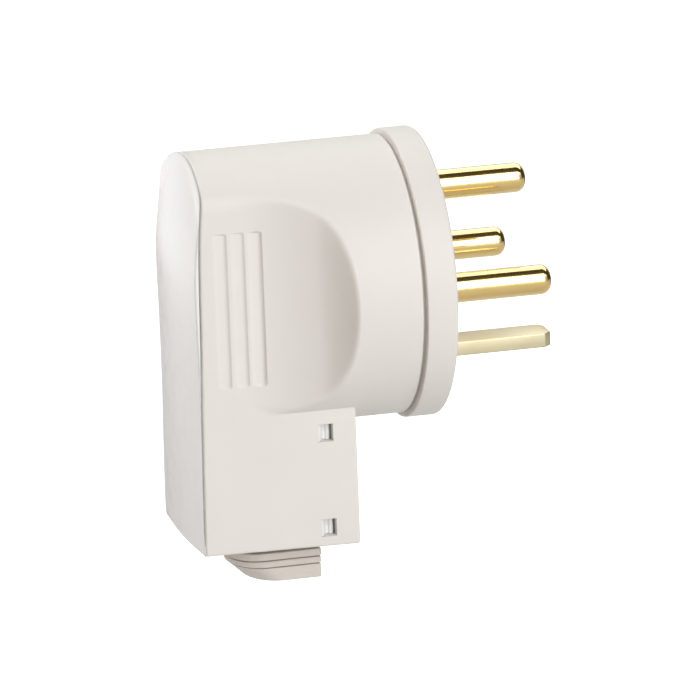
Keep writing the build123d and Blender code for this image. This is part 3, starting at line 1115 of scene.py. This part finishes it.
    def arm(self, skin: Skin, side: Side, height: float) -> None:
        """Adds one arm: its plan carried upwards, a little smaller at both ends.

        Args:
            skin: where it goes.
            side: the wall that it runs along.
            height: its middle.
        """
        plan = self.arm_plan(height)
        plan[:, 1] *= side.value
        middle = plan.mean(axis=0)
        rows = []
        for share, draw in zip(self.arm_shares, self.arm_draw):
            level = np.full(len(plan), height + self.arm_half_height * share)
            rows.append(np.column_stack((plan + (middle - plan) * draw, level)))
        grid = np.stack(rows if side is Side.FAR else rows[::-1])
        numbers = skin.tube(grid)
        for end in (0, -1):
            skin.polygon(numbers[end], (0.0, 0.0, grid[end, 0, 2] - height))

    def build(self) -> Piece:
        """Builds the plate as rings from the middle of its back, over its rim, to its inner face.

        The back's rings are the edge's outline, shrunk evenly. Inside the edge the few points of
        each bottom corner are drawn together to one.

        Returns:
            The cover.
        """
        inner = self.edge_outline(self.edge_width)
        plainer = inner.copy()
        for columns in self.housing.corners(len(inner)):
            plainer[columns] = inner[columns].mean(axis=0)
        flats = [plainer * share for share in run((0.0, 1.0, self.back_steps))[:-1]]
        rings = [self.ring(flat, self.behind(flat)) for flat in (*flats, inner)]
        for angle in quarter(self.edge_steps)[1:]:
            edge = self.edge_outline(self.edge_width * (1.0 - math.sin(angle)))
            above, level = self.behind(edge), self.level(edge)
            drop = np.minimum(self.edge_drop + self.groove - level, above - level - self.edge_least)
            rings.append(self.ring(edge, above - drop * (1.0 - math.cos(angle))))
        for inset in (self.groove_lip, self.groove_depth):
            edge = self.outline(inset, inset)
            rings.append(self.ring(edge, self.level(edge)))
        lip = self.outline(self.lip_inset, self.lip_floor)
        rings += [self.ring(flat, self.seat) for flat in (edge, lip)]
        rings += [self.ring(lip * share, -self.lip_length) for share in self.lip_shares]
        skin = Skin()
        skin.tube(np.stack(rings))
        for height in self.arm_heights:
            for side in Side:
                self.arm(skin, side, height)
        return skin.piece("cover_plate", WHITE, Slot.WHITE, "rear_cover")


def lathe(skin: Skin, profile: Grid, middle: Pair, count: int) -> Grid:
    """Turns a profile about an axis along X.

    Y and Z are the axis's, plus the radius times the cosine and the sine of the turn.

    Args:
        skin: where the faces go.
        profile: X and radius of its points, run so that the solid is on its left seen from above.
        middle: Y and Z of the axis.
        count: points a turn.

    Returns:
        The points' numbers, one row a profile point.
    """
    turn = whole_turn(count)
    x, radius = profile[:, :1], profile[:, 1:]
    rings = np.stack((
        np.broadcast_to(x, (len(profile), count)),
        middle[0] + radius * np.cos(turn), middle[1] + radius * np.sin(turn),
    ), axis=-1)
    return skin.tube(rings)


def rounded_box(half_width: float, half_height: float, radius: float, steps: int = 5) -> Grid:
    """Outline of a rectangle with round corners.

    A quarter circle is turned for each corner and moved to that corner's centre.

    Args:
        half_width: half its size along Y.
        half_height: half its size along Z.
        radius: of its corners.
        steps: points a corner, less one.

    Returns:
        Y and Z of its points.
    """
    turn = quarter(steps)
    corner = radius * np.column_stack((np.cos(turn), np.sin(turn)))
    centre = np.array([half_width - radius, half_height - radius])
    turned = [corner @ np.array([[c, s], [-s, c]]) for c, s in ((1, 0), (0, 1), (-1, 0), (0, -1))]
    signs = np.array([(1, 1), (-1, 1), (-1, -1), (1, -1)])
    return np.concatenate([arc + sign * centre for arc, sign in zip(turned, signs)])


@dataclass
class PinCarrier:
    """Front piece: the flange with its engagement face, and the spigot in the drum.

    Attributes:
        flat_rim: width of a flat ring inside the rounded edge of the face.
        pin_circle: distance of the pins from the axis.
        pin_seat: radius of a pin's hole, and of the room for its collar.
        blade_seat: half widths of the blade's hole and of its shoulders' room, and half its height.
        step_back: where the holes widen.
        mouth: chamfer of the contacts' holes.
        screw_place: Y and, downwards, Z of the two screws.
    """

    flange_radius: float = 28.1
    flange_back: float = -6.1
    edge_round: float = 0.8
    flat_rim: float = 0.3
    back_round: float = 0.25
    neck_radius: float = 26.1
    seat_back: float = -6.7
    spigot_radius: float = 24.55
    spigot_back: float = -13.0
    spigot_bevel: float = 0.3
    bore_radius: float = 22.75
    web_back: float = -4.98
    pin_circle: float = 16.5
    pin_seat: Pair = (3.25, 4.6)
    blade_seat: Triple = (3.9, 5.4, 1.5)
    blade_corner: float = 0.3
    blade_z: float = -15.6
    step_back: float = -3.0
    mouth: float = 0.1
    screw_radius: float = 3.1
    screw_back: float = -4.95
    screw_place: float = 14.92
    bevel: float = 0.18
    edge_steps: int = 7
    round_count: int = 256
    hole_count: int = 56

    def pins(self) -> dict[str, Pair]:
        """Y and Z of the round pins, by their places."""
        circle = self.pin_circle
        return {"left": (-circle, 0.0), "top": (0.0, circle), "right": (circle, 0.0)}

    def flat_radius(self) -> float:
        """Radius of the engagement face inside the flat ring."""
        return self.flange_radius - self.edge_round - self.flat_rim

    def circle(self, radius: float, middle: Pair, count: int) -> Grid:
        """Y and Z of points on a circle."""
        turn = whole_turn(count)
        return np.column_stack((middle[0] + radius * np.cos(turn), middle[1] + radius * np.sin(turn)))

    def face(self, skin: Skin, x: float, facing: float, rim: Grid, holes: list[Grid]) -> None:
        """Fills a flat face between its rim and its holes with triangles.

        Args:
            skin: where it goes.
            x: where the face lies.
            facing: 1 for a face turned forward, -1 for one turned back.
            rim: Y and Z of its outer edge.
            holes: Y and Z of the edges of its holes.
        """
        loops = [rim, *holes]
        starts = np.cumsum([0] + [len(loop) for loop in loops])
        edges = [
            np.column_stack((np.arange(len(loop)), np.roll(np.arange(len(loop)), -1))) + start
            for loop, start in zip(loops, starts)
        ]
        points = [Vector(p) for p in np.concatenate(loops)]
        made = geometry.delaunay_2d_cdt(points, np.concatenate(edges).tolist(), [], 1, JOIN_MM)
        flat, faces = np.array(made[0]), np.array(made[2])
        centres = flat[faces].mean(axis=1)
        inside = np.hypot(*centres.T) < np.hypot(*rim.T).max()
        for hole in holes:
            middle, reach = hole.mean(axis=0), np.ptp(hole, axis=0) / 2.0
            away = np.abs(centres - middle)
            round_hole = abs(reach[0] - reach[1]) < SAME_MM
            within = np.hypot(*away.T) < reach[0] if round_hole else (away < reach).all(axis=1)
            inside &= ~within
        numbers = skin.place(np.column_stack((np.full(len(flat), x), flat)))
        triangles = numbers[faces[inside]]
        corners = flat[faces[inside]]
        first, second = corners[:, 1] - corners[:, 0], corners[:, 2] - corners[:, 0]
        turned = (first[:, 0] * second[:, 1] - first[:, 1] * second[:, 0]) * facing < 0.0
        triangles[turned] = triangles[turned][:, ::-1]
        skin.triangles(triangles)

    def well(self, skin: Skin, x: tuple[float, ...], loops: list[Grid]) -> None:
        """Lines a hole with rings of points.

        Args:
            skin: where it goes.
            x: X of each ring, from the front.
            loops: Y and Z of each ring's points.
        """
        rings = [np.column_stack((np.full(len(loop), place), loop)) for place, loop in zip(x, loops)]
        skin.tube(np.stack(rings[::-1]))

    def wells(self, skin: Skin) -> tuple[list[Grid], list[Grid]]:
        """Lines the stepped seats of the contacts and the recesses of the two screws.

        Args:
            skin: where they go.

        Returns:
            Edges of the holes in the engagement face, and of those in the back of the web.
        """
        narrow, wide = self.pin_seat
        half, shoulder, height = self.blade_seat
        mouth, middle = self.mouth, np.array([0.0, self.blade_z])
        radii = (narrow + mouth, narrow, narrow, wide, wide)
        seats = [[self.circle(r, place, self.hole_count) for r in radii] for place in self.pins().values()]
        sizes = ((half + mouth, height + mouth), *((w, height) for w in (half, half, shoulder, shoulder)))
        seats.append([rounded_box(w, h, self.blade_corner) + middle for w, h in sizes])
        radii = (self.screw_radius + self.bevel, self.screw_radius, self.screw_radius, 0.0)
        places = [(side.value * self.screw_place, -self.screw_place) for side in Side]
        recesses = [[self.circle(r, place, self.hole_count) for r in radii] for place in places]
        for seat in seats:
            self.well(skin, (0.0, -mouth, self.step_back, self.step_back, self.web_back), seat)
        for recess in recesses:
            self.well(skin, (0.0, -self.bevel, self.screw_back, self.screw_back), recess)
        return [loops[0] for loops in seats + recesses], [loops[-1] for loops in seats]

    def profile(self) -> Grid:
        """X and radius of the turned form, from the engagement face round to the back of the web.

        Returns:
            The points, with quarter circles on the two edges of the flange.
        """
        turn = quarter(self.edge_steps)
        front_x = -self.edge_round * (1 - np.cos(turn))
        front_radius = self.flange_radius - self.edge_round * (1 - np.sin(turn))
        back_x = self.flange_back + self.back_round * (1 - np.sin(turn))
        back_radius = self.flange_radius - self.back_round * (1 - np.cos(turn))
        return np.concatenate((
            [(0.0, self.flat_radius())],
            np.column_stack((front_x, front_radius)), np.column_stack((back_x, back_radius)),
            [
                (self.flange_back, self.neck_radius),
                (self.seat_back, self.neck_radius),
                (self.seat_back, self.spigot_radius),
                (self.spigot_back + self.spigot_bevel, self.spigot_radius),
                (self.spigot_back, self.spigot_radius - self.spigot_bevel),
                (self.spigot_back, self.bore_radius),
                (self.web_back, self.bore_radius),
            ],
        ))

    def build(self) -> Piece:
        """Turns the flange and spigot, and fits the two flat faces with their holes.

        Returns:
            The carrier.
        """
        skin = Skin()
        axis = (0.0, 0.0)
        lathe(skin, self.profile(), axis, self.round_count)
        front_holes, back_holes = self.wells(skin)
        self.face(skin, 0.0, 1.0, self.circle(self.flat_radius(), axis, self.round_count), front_holes)
        back_rim = self.circle(self.bore_radius, axis, self.round_count)
        self.face(skin, self.web_back, -1.0, back_rim, back_holes)
        return skin.piece("flange_carrier", IVORY, Slot.IVORY, "pin_carrier")


@dataclass
class RoundPin:
    """Turned contact: domed tip, shank, seat, collar and drilled tail.

    Attributes:
        node: the CAD node that it stands for.
        middle: Y and Z of its axis.
        dome: radius of the tip's rounding.
        shank_x: where a ring divides the shank.
        step: half the length of the step from the shank to the wider seat.
        collar_x, collar_bevel: front and back of the collar, and its chamfer.
        hole_x: the bottom of the wire hole in the tail.
    """

    node: str
    middle: Pair
    radius: float = 2.9
    tip: float = 21.1
    dome: float = 1.9
    dome_steps: int = 14
    shank_x: float = 10.0
    step: float = 0.02
    seat: float = 3.2
    seat_bevel: float = 0.1
    collar_radius: float = 4.5
    collar_x: Pair = (-3.0, -5.0)
    collar_bevel: float = 0.2
    tail_radius: float = 3.7
    tail_x: float = -17.0
    tail_bevel: float = 0.3
    hole_radius: float = 1.8
    hole_x: float = -12.4
    count: int = 96

    def build(self) -> Piece:
        """Turns the pin's profile from the middle of its tip to the bottom of the wire hole.

        The dome is a quarter circle that ends on a small flat.

        Returns:
            The pin.
        """
        turn = quarter(self.dome_steps)
        dome_x = self.tip - self.dome * (1.0 - np.cos(turn))
        dome_radius = self.radius - self.dome * (1.0 - np.sin(turn))
        front, back = self.collar_x
        edge = self.collar_radius - self.collar_bevel
        profile = np.concatenate((
            [(self.tip, 0.0)], np.column_stack((dome_x, dome_radius)),
            [
                (self.shank_x, self.radius), (self.step, self.radius),
                (-self.step, self.seat - self.seat_bevel),
                (-self.step - self.seat_bevel, self.seat), (front, self.seat),
                (front, edge), (front - self.collar_bevel, self.collar_radius),
                (back + self.collar_bevel, self.collar_radius), (back, edge),
                (back, self.tail_radius), (self.tail_x + self.tail_bevel, self.tail_radius),
                (self.tail_x, self.tail_radius - self.tail_bevel), (self.tail_x, self.hole_radius),
                (self.hole_x, self.hole_radius), (self.hole_x, 0.0),
            ],
        ))
        skin = Skin()
        lathe(skin, profile, self.middle, self.count)
        return skin.piece(self.node.replace("round_pin", "pin"), BRASS, Slot.PIN, self.node)


@dataclass
class EarthBlade:
    """Flat contact with chamfered corners and shoulders behind the web.

    Attributes:
        z: height of its middle.
        chamfer: size of the two corners cut off at its tip, seen in plan.
        chamfer_soft: length and depth of the easing where a chamfer meets the side.
        corner: radius along its edges, held below a share of half its height.
        edge: rounding of the tip's face, of which a share is taken at the first step.
        tip_in, tip_out: how far the tip's face is narrower, and its rim wider, than the chamfers give.
        middle_x: where a ring divides it.
        shoulder_x: front and back of the shoulders.
    """

    z: float
    half_width: float = 3.8
    half_height: float = 1.4
    tip: float = 24.8
    chamfer: float = 1.3
    chamfer_soft: Pair = (0.15, 0.05)
    corner: float = 0.22
    corner_share: float = 0.6
    edge: float = 0.14
    edge_share: float = 0.3
    tip_in: float = 0.1
    tip_out: float = 0.11
    middle_x: float = 10.0
    shoulder: float = 5.3
    shoulder_x: Pair = (-3.0, -5.0)
    tail: float = -12.1

    def build(self) -> Piece:
        """Carries a rounded rectangle along X, tapering to the tip and wider at the shoulders.

        Returns:
            The blade.
        """
        wide, high = self.half_width, self.half_height
        narrow, start = wide - self.chamfer, self.tip - self.chamfer
        soft_length, soft_depth = self.chamfer_soft
        eased = self.edge_share * self.edge
        front, back = self.shoulder_x
        stations = (
            (self.tip, narrow - self.tip_in, high - self.edge),
            (self.tip - eased, narrow, high - eased),
            (self.tip - self.edge, narrow + self.tip_out, high),
            (start, wide - soft_depth, high),
            (start - soft_length, wide, high),
            (self.middle_x, wide, high),
            (front, wide, high),
            (front, self.shoulder, high),
            (back, self.shoulder, high),
            (back, wide, high),
            (self.tail, wide, high),
        )
        rings = []
        for x, width, height in stations:
            outline = rounded_box(width, height, min(self.corner, height * self.corner_share))
            outline = outline + np.array([0.0, self.z])
            rings.append(np.column_stack((np.full(len(outline), x), outline)))
        skin = Skin()
        numbers = skin.tube(np.stack(rings))
        skin.polygon(numbers[0], (1.0, 0.0, 0.0))
        skin.polygon(numbers[-1], (-1.0, 0.0, 0.0))
        return skin.piece("blade", PALE_BRASS, Slot.BLADE, "earth_blade")


@dataclass
class CableGrommet:
    """Soft stepped spout under the box, with its neck in the wall and its flange inside.

    Attributes:
        nose_length: how far the round back end reaches.
        tiers: heights of the tiers, from the top.
        leans: how far each tier's back comes forward, for each millimetre of its height.
        tier_inset: how much narrower each tier is than the one above it.
        neck: how far the neck is drawn in.
        floor: thickness of the wall that the neck goes through.
        rim, rim_height: reach and height of the flange inside.
        fit: how far the flange stays off the wall.
        lines: half height and depth of the thin lines between the tiers.
        line_floor: share of a line's half height that is its flat bottom.
        line_edge, line_soft: depth of a line's edge, and how far the tier is eased above and below it.
        top_edge, end_edge: distance from the end of the spout, and inset, of the rings there.
        bore_edge, bore_bevel: chamfer of the bore's mouth, across and along it.
    """

    front: float = -24.05
    back: float = -42.2
    half_width: float = 8.8
    nose_length: float = 6.4
    corner: float = 0.35
    front_steps: int = 7
    corner_steps: int = 4
    side_steps: int = 15
    nose_steps: int = 24
    top: float = -48.6
    tiers: tuple[float, ...] = (2.4, 1.8, 1.5, 2.9)
    leans: tuple[float, ...] = (0.0, 0.0, 0.33, 1.07)
    tier_inset: float = 0.3
    neck: float = 0.8
    neck_end: float = 0.02
    floor: float = 1.5
    rim: float = 0.6
    rim_height: float = 1.6
    fit: float = 0.01
    lines: tuple[Pair, ...] = ((0.28, 1.8), (0.17, 1.1), (0.15, 1.1))
    line_floor: float = 0.7
    line_edge: float = 0.1
    line_soft: float = 0.12
    top_edge: tuple[Pair, ...] = ((0.02, 0.1), (0.05, 0.04), (0.1, 0.01), (0.15, 0.0))
    end_edge: tuple[Pair, ...] = ((0.25, 0.0), (0.12, 0.06), (0.05, 0.14), (0.0, 0.28))
    bore_radius: float = 3.6
    bore_x: float = -30.3
    bore_edge: float = 0.25
    bore_bevel: float = 0.2

    def plan(self, inset: float, front: float, back: float) -> Grid:
        """Outline in plan: flat front with small corners, straight sides and an elliptic back.

        The back is its length times the cosine, and half the width times the sine, of an angle.

        Args:
            inset: how far the sides are drawn in.
            front: X of the front.
            back: X of the back.

        Returns:
            X and Y of its points.
        """
        half, length, corner = self.half_width - inset, self.nose_length, self.corner
        turn = np.radians(run((90.0, 180.0, self.nose_steps)))
        nose = np.column_stack((back + length + length * np.cos(turn), half * np.sin(turn)))
        bend = quarter(self.corner_steps)
        arc = np.column_stack((np.cos(bend), np.sin(bend))) * corner + (front - corner, half - corner)
        side = np.linspace(arc[-1], nose[0], self.side_steps + 1)[1:-1]
        across = np.linspace((front, 0.0), arc[0], self.front_steps + 1)[:-1]
        upper = np.concatenate((across, arc, side, nose))
        lower = upper[-2:0:-1] * np.array([1.0, -1.0])
        return np.concatenate((upper, lower))

    def bore(self, outline: Grid, radius: float) -> Grid:
        """Points round the bore's axis in the directions of an outline's points.

        Each is the axis plus the radius times the unit direction to the outline's point.

        Args:
            outline: X and Y of the outline.
            radius: their distance from the axis.

        Returns:
            X and Y on that circle.
        """
        middle = np.array([self.bore_x, 0.0])
        way = outline - middle
        return middle + radius * way / np.linalg.norm(way, axis=1)[:, None]

    def beside_line(self, half: float, depth: float) -> tuple[Pair, ...]:
        """Rings from the middle of a line to the full tier: its flat bottom, its edge and the easing.

        Args:
            half: half the line's height.
            depth: its depth.

        Returns:
            Distance from the line's middle, and inset, of each ring.
        """
        bottom, soft = self.line_floor * half, half + self.line_soft
        return (0.0, depth), (bottom, depth), (half, self.line_edge), (soft, 0.0)

    def tier_rings(self) -> list[tuple[Grid, float]]:
        """Rings down the outside of the tiers, each of which leans in towards the front below.

        Returns:
            Outlines in plan, with their heights.
        """
        lines = [self.beside_line(*line) for line in self.lines]
        uppers = [self.top_edge, *lines]
        lowers = [*(line[::-1] for line in lines), self.end_edge]
        rings = []
        height, back = self.top, self.back
        for index, (tier, lean) in enumerate(zip(self.tiers, self.leans)):
            step = self.tier_inset * index
            places = [*uppers[index], *((tier - up, inset) for up, inset in lowers[index])]
            for down, inset in places:
                start = back + step + inset + lean * down
                rings.append((self.plan(step + inset, self.front - inset, start), height - down))
            height -= tier
            back += lean * tier
        return rings

    def build(self) -> Piece:
        """Carries the plan from the flange down the outside of the tiers and up through the bore.

        Returns:
            The grommet.
        """
        inner_top = self.top + self.floor
        flange = self.plan(-self.rim, self.front + self.rim, self.back - self.rim)
        neck = self.plan(self.neck, self.front - self.neck, self.back + self.neck)
        rings = [
            (flange, inner_top + self.rim_height), (flange, inner_top + self.fit),
            (neck, inner_top + self.fit), (neck, self.top - self.neck_end),
        ]
        rings += self.tier_rings()
        bottom, height = rings[-1]
        rings += [
            (self.bore(bottom, self.bore_radius + self.bore_edge), height),
            (self.bore(bottom, self.bore_radius), height + self.bore_bevel),
            (self.bore(flange, self.bore_radius), inner_top + self.rim_height),
        ]
        grid = np.stack([np.column_stack((flat, np.full(len(flat), z))) for flat, z in rings])
        skin = Skin()
        skin.tube(np.concatenate((grid, grid[:1])))
        return skin.piece("spout", SOFT, Slot.GROMMET, "cable_grommet")


@dataclass
class Hardware:
    """Pieces whose CAD shape is kept: terminals, screws, retainer and clamp bar."""

    finishes: dict[str, Finish] = field(default_factory=lambda: {
        "earth_clamp": PALE_BRASS,
        "terminal_screws": STEEL,
        "pin_retainer": INNER,
        "retainer_screw": STEEL,
        "cable_clamp": INNER,
        "clamp_screws": STEEL,
        "carrier_screws": STEEL,
    })

    def dress(self) -> None:
        """Gives each node its finish."""
        for name, finish in self.finishes.items():
            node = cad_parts[name]
            node.material_slots[0].material = finish.material()
            log.info("%s: %s", name, finish.name)


@dataclass
class Lamp:
    """A soft light with a square or oblong face that is turned to the plug.

    Attributes:
        name: the lamp's name.
        way: the direction to it from the plug.
        distance: how far off it is, in metres.
        width, height: of its face, in metres.
        power: in watts.
    """

    name: str
    way: Triple
    distance: float
    width: float
    height: float
    power: float

    def light(self, target: Vector) -> None:
        """Places the lamp.

        Args:
            target: the point it is turned to, in metres.
        """
        data = bpy.data.lights.new(self.name, "AREA")
        data.shape = "RECTANGLE"
        data.size = self.width
        data.size_y = self.height
        data.energy = self.power
        made = bpy.data.objects.new(self.name, data)
        way = Vector(self.way).normalized()
        turn = way.to_track_quat("Z", "Y").to_matrix().to_4x4()
        made.matrix_world = Matrix.Translation(target + way * self.distance) @ turn
        bpy.context.scene.collection.objects.link(made)


def card(name: str, corners: tuple[Triple, ...], material: bpy.types.Material) -> Piece:
    """Makes one flat face.

    Args:
        name: the object's name.
        corners: its corners, in metres.
        material: what it is made of.

    Returns:
        The new object.
    """
    mesh = bpy.data.meshes.new(name)
    mesh.from_pydata(list(corners), [], [tuple(range(len(corners)))])
    mesh.materials.append(material)
    made = bpy.data.objects.new(name, mesh)
    bpy.context.scene.collection.objects.link(made)
    return made


@dataclass
class Flag:
    """A dark card outside the picture, which one kind of rays meets.

    Attributes:
        name: the card's name.
        corners: its corners, in metres.
        tone: its colour.
        ray: the rays that meet it: reflections, or the light between dull surfaces.
    """

    name: str
    corners: tuple[Triple, ...]
    tone: Triple = (0.10, 0.09, 0.075)
    ray: Ray = Ray.GLOSSY

    def hang(self) -> None:
        """Places the card and hides it from all but its own rays."""
        dark = bpy.data.materials.new(self.name)
        nodes = Nodes(dark)
        dull = {"Base Color": (*self.tone, 1.0), "Roughness": 1.0, "Specular IOR Level": 0.0}
        nodes.fill(nodes.surface, dull)
        made = card(self.name, self.corners, dark)
        for ray in Ray:
            setattr(made, f"visible_{ray.value}", ray is self.ray)


@dataclass
class Studio:
    """White surroundings, soft lamps and the camera at the photograph's angle.

    Attributes:
        target: the point in the middle of the picture, in metres.
        back, right: directions from the plug to the camera, and to the picture's right.
        ambient, ambient_tone: strength and colour of the light from all round.
        backdrop: how bright reflections show the surroundings, low down and high up.
        backdrop_step: between which heights, as a direction's Z, that changes.
        floor_glow: how bright the camera sees the floor.
        floor_mirrored: how bright reflections show it, near and far.
        floor_course, floor_step: along which way, and between which distances, that changes.
    """

    target: Vector = field(default_factory=lambda: Vector((-0.014761, 0.000026, -0.014643)))
    back: Vector = field(default_factory=lambda: Vector((-0.23344, -0.93921, 0.25177)))
    right: Vector = field(default_factory=lambda: Vector((0.96747, -0.25030, -0.03667)))
    distance: float = 1.578
    lens: float = 419.4
    sensor: float = 36.0
    clip: Pair = (0.05, 20.0)
    ambient: float = 0.302
    ambient_tone: Triple = (1.0, 0.935, 0.88)
    backdrop: Pair = (0.42, 2.7)
    backdrop_step: Pair = (0.3, 0.6)
    floor_z: float = -0.118
    floor_size: float = 6.0
    floor_tone: float = 0.7
    floor_dull: float = 0.9
    floor_glow: float = 0.8
    floor_mirrored: Pair = (0.12, 1.0)
    floor_course: Triple = (-1.0, 1.0, 0.0)
    floor_step: Pair = (0.50, 0.74)
    lamps: tuple[Lamp, ...] = (
        Lamp("key", (0.282, -0.869, 0.407), 1.2, 0.6, 1.07, 10.2),
        Lamp("back", (-0.70, 0.38, 0.60), 1.1, 0.8, 0.8, 7.1),
        Lamp("top", (-0.30, 0.36, 0.88), 1.1, 0.6, 0.6, 1.3),
    )
    flags: tuple[Flag, ...] = (
        Flag("ceiling_flag", ((-1.5, -0.68, 1.0), (1.5, -0.68, 1.0), (1.5, 0.13, 1.0), (-1.5, 0.13, 1.0))),
        Flag("right_flag", ((1.2, -0.5, -0.1), (1.2, -0.5, 0.9), (1.2, 0.9, 0.9), (1.2, 0.9, -0.1))),
        Flag("low_flag", ((0.15, 0.2, -0.11), (1.5, 0.2, -0.11), (1.5, 0.9, -0.11), (0.15, 0.9, -0.11))),
        Flag(
            "far_flag",
            ((-0.12, 0.2, -0.112), (0.05, 0.2, -0.112), (0.05, 1.2, -0.112), (-0.12, 1.2, -0.112)),
            (0.46, 0.455, 0.45),
        ),
        Flag(
            "left_flag",
            ((-0.45, -0.6, -0.11), (-0.45, 0.15, -0.11), (-0.45, 0.15, 0.35), (-0.45, -0.6, 0.35)),
            (0.18, 0.10, 0.045), Ray.DIFFUSE,
        ),
    )

    def surround(self) -> None:
        """Makes the world white to see, softer as a light, and brighter above in reflections."""
        world = bpy.data.worlds.new("studio")
        bpy.context.scene.world = world
        nodes = Nodes(world)
        height = nodes.add("ShaderNodeSeparateXYZ", {"Vector": nodes.place("Generated")})["Z"]
        mirrored = nodes.ranged(height, self.backdrop_step, self.backdrop)
        light = tuple(self.ambient * part for part in self.ambient_tone)
        tone = nodes.tones(nodes.seen(1.0, mirrored), light, (1.0, 1.0, 1.0), held=False)
        nodes.fill(nodes.tree.nodes["Background"].inputs, {"Color": tone})

    def floor(self) -> None:
        """Lays a pale floor that keeps the plug's shadow and is white to see.

        Its glow in reflections grows along its course: the dot product of a point and the course
        is mapped from the near to the far value with level ends.
        """
        pale = bpy.data.materials.new("pale_floor")
        nodes = Nodes(pale)
        course = {0: nodes.place("Object"), 1: self.floor_course}
        along = nodes.add("ShaderNodeVectorMath", course, operation="DOT_PRODUCT")["Value"]
        mirrored = nodes.ranged(along, self.floor_step, self.floor_mirrored, "SMOOTHSTEP")
        nodes.fill(nodes.surface, {
            "Base Color": (self.floor_tone, self.floor_tone, self.floor_tone, 1.0),
            "Roughness": self.floor_dull,
            "Specular IOR Level": 0.0,
            "Emission Color": (1.0, 1.0, 1.0, 1.0),
            "Emission Strength": nodes.seen(self.floor_glow, mirrored),
        })
        half = self.floor_size / 2.0
        signs = ((-1, -1), (1, -1), (1, 1), (-1, 1))
        card("floor", tuple((x * half, y * half, self.floor_z) for x, y in signs), pale)

    def camera(self) -> None:
        """Sets the camera at the photograph's angle and distance."""
        data = bpy.data.cameras.new("camera")
        data.lens = self.lens
        data.sensor_width = self.sensor
        data.clip_start, data.clip_end = self.clip
        made = bpy.data.objects.new("camera", data)
        up = self.back.cross(self.right)
        turn = Matrix((self.right, up, self.back)).transposed().to_4x4()
        made.matrix_world = Matrix.Translation(self.target + self.back * self.distance) @ turn
        bpy.context.scene.collection.objects.link(made)
        bpy.context.scene.camera = made

    def build(self) -> None:
        """Sets up surroundings, floor, lamps and camera."""
        bpy.context.scene.view_settings.view_transform = "Standard"
        self.surround()
        self.floor()
        for lamp in self.lamps:
            lamp.light(self.target)
        for flag in self.flags:
            flag.hang()
        self.camera()


def main() -> None:
    """Builds the plug's pieces in order, then the studio."""
    housing = MainHousing(Seam())
    housing.build()
    RearCover(housing).build()
    carrier = PinCarrier()
    carrier.build()
    for place, middle in carrier.pins().items():
        RoundPin(f"round_pin_{place}", middle).build()
    EarthBlade(carrier.blade_z).build()
    CableGrommet().build()
    Hardware().dress()
    Studio().build()


if __name__ == "__main__":
    logging.basicConfig(level=logging.INFO, format="%(message)s")
    main()
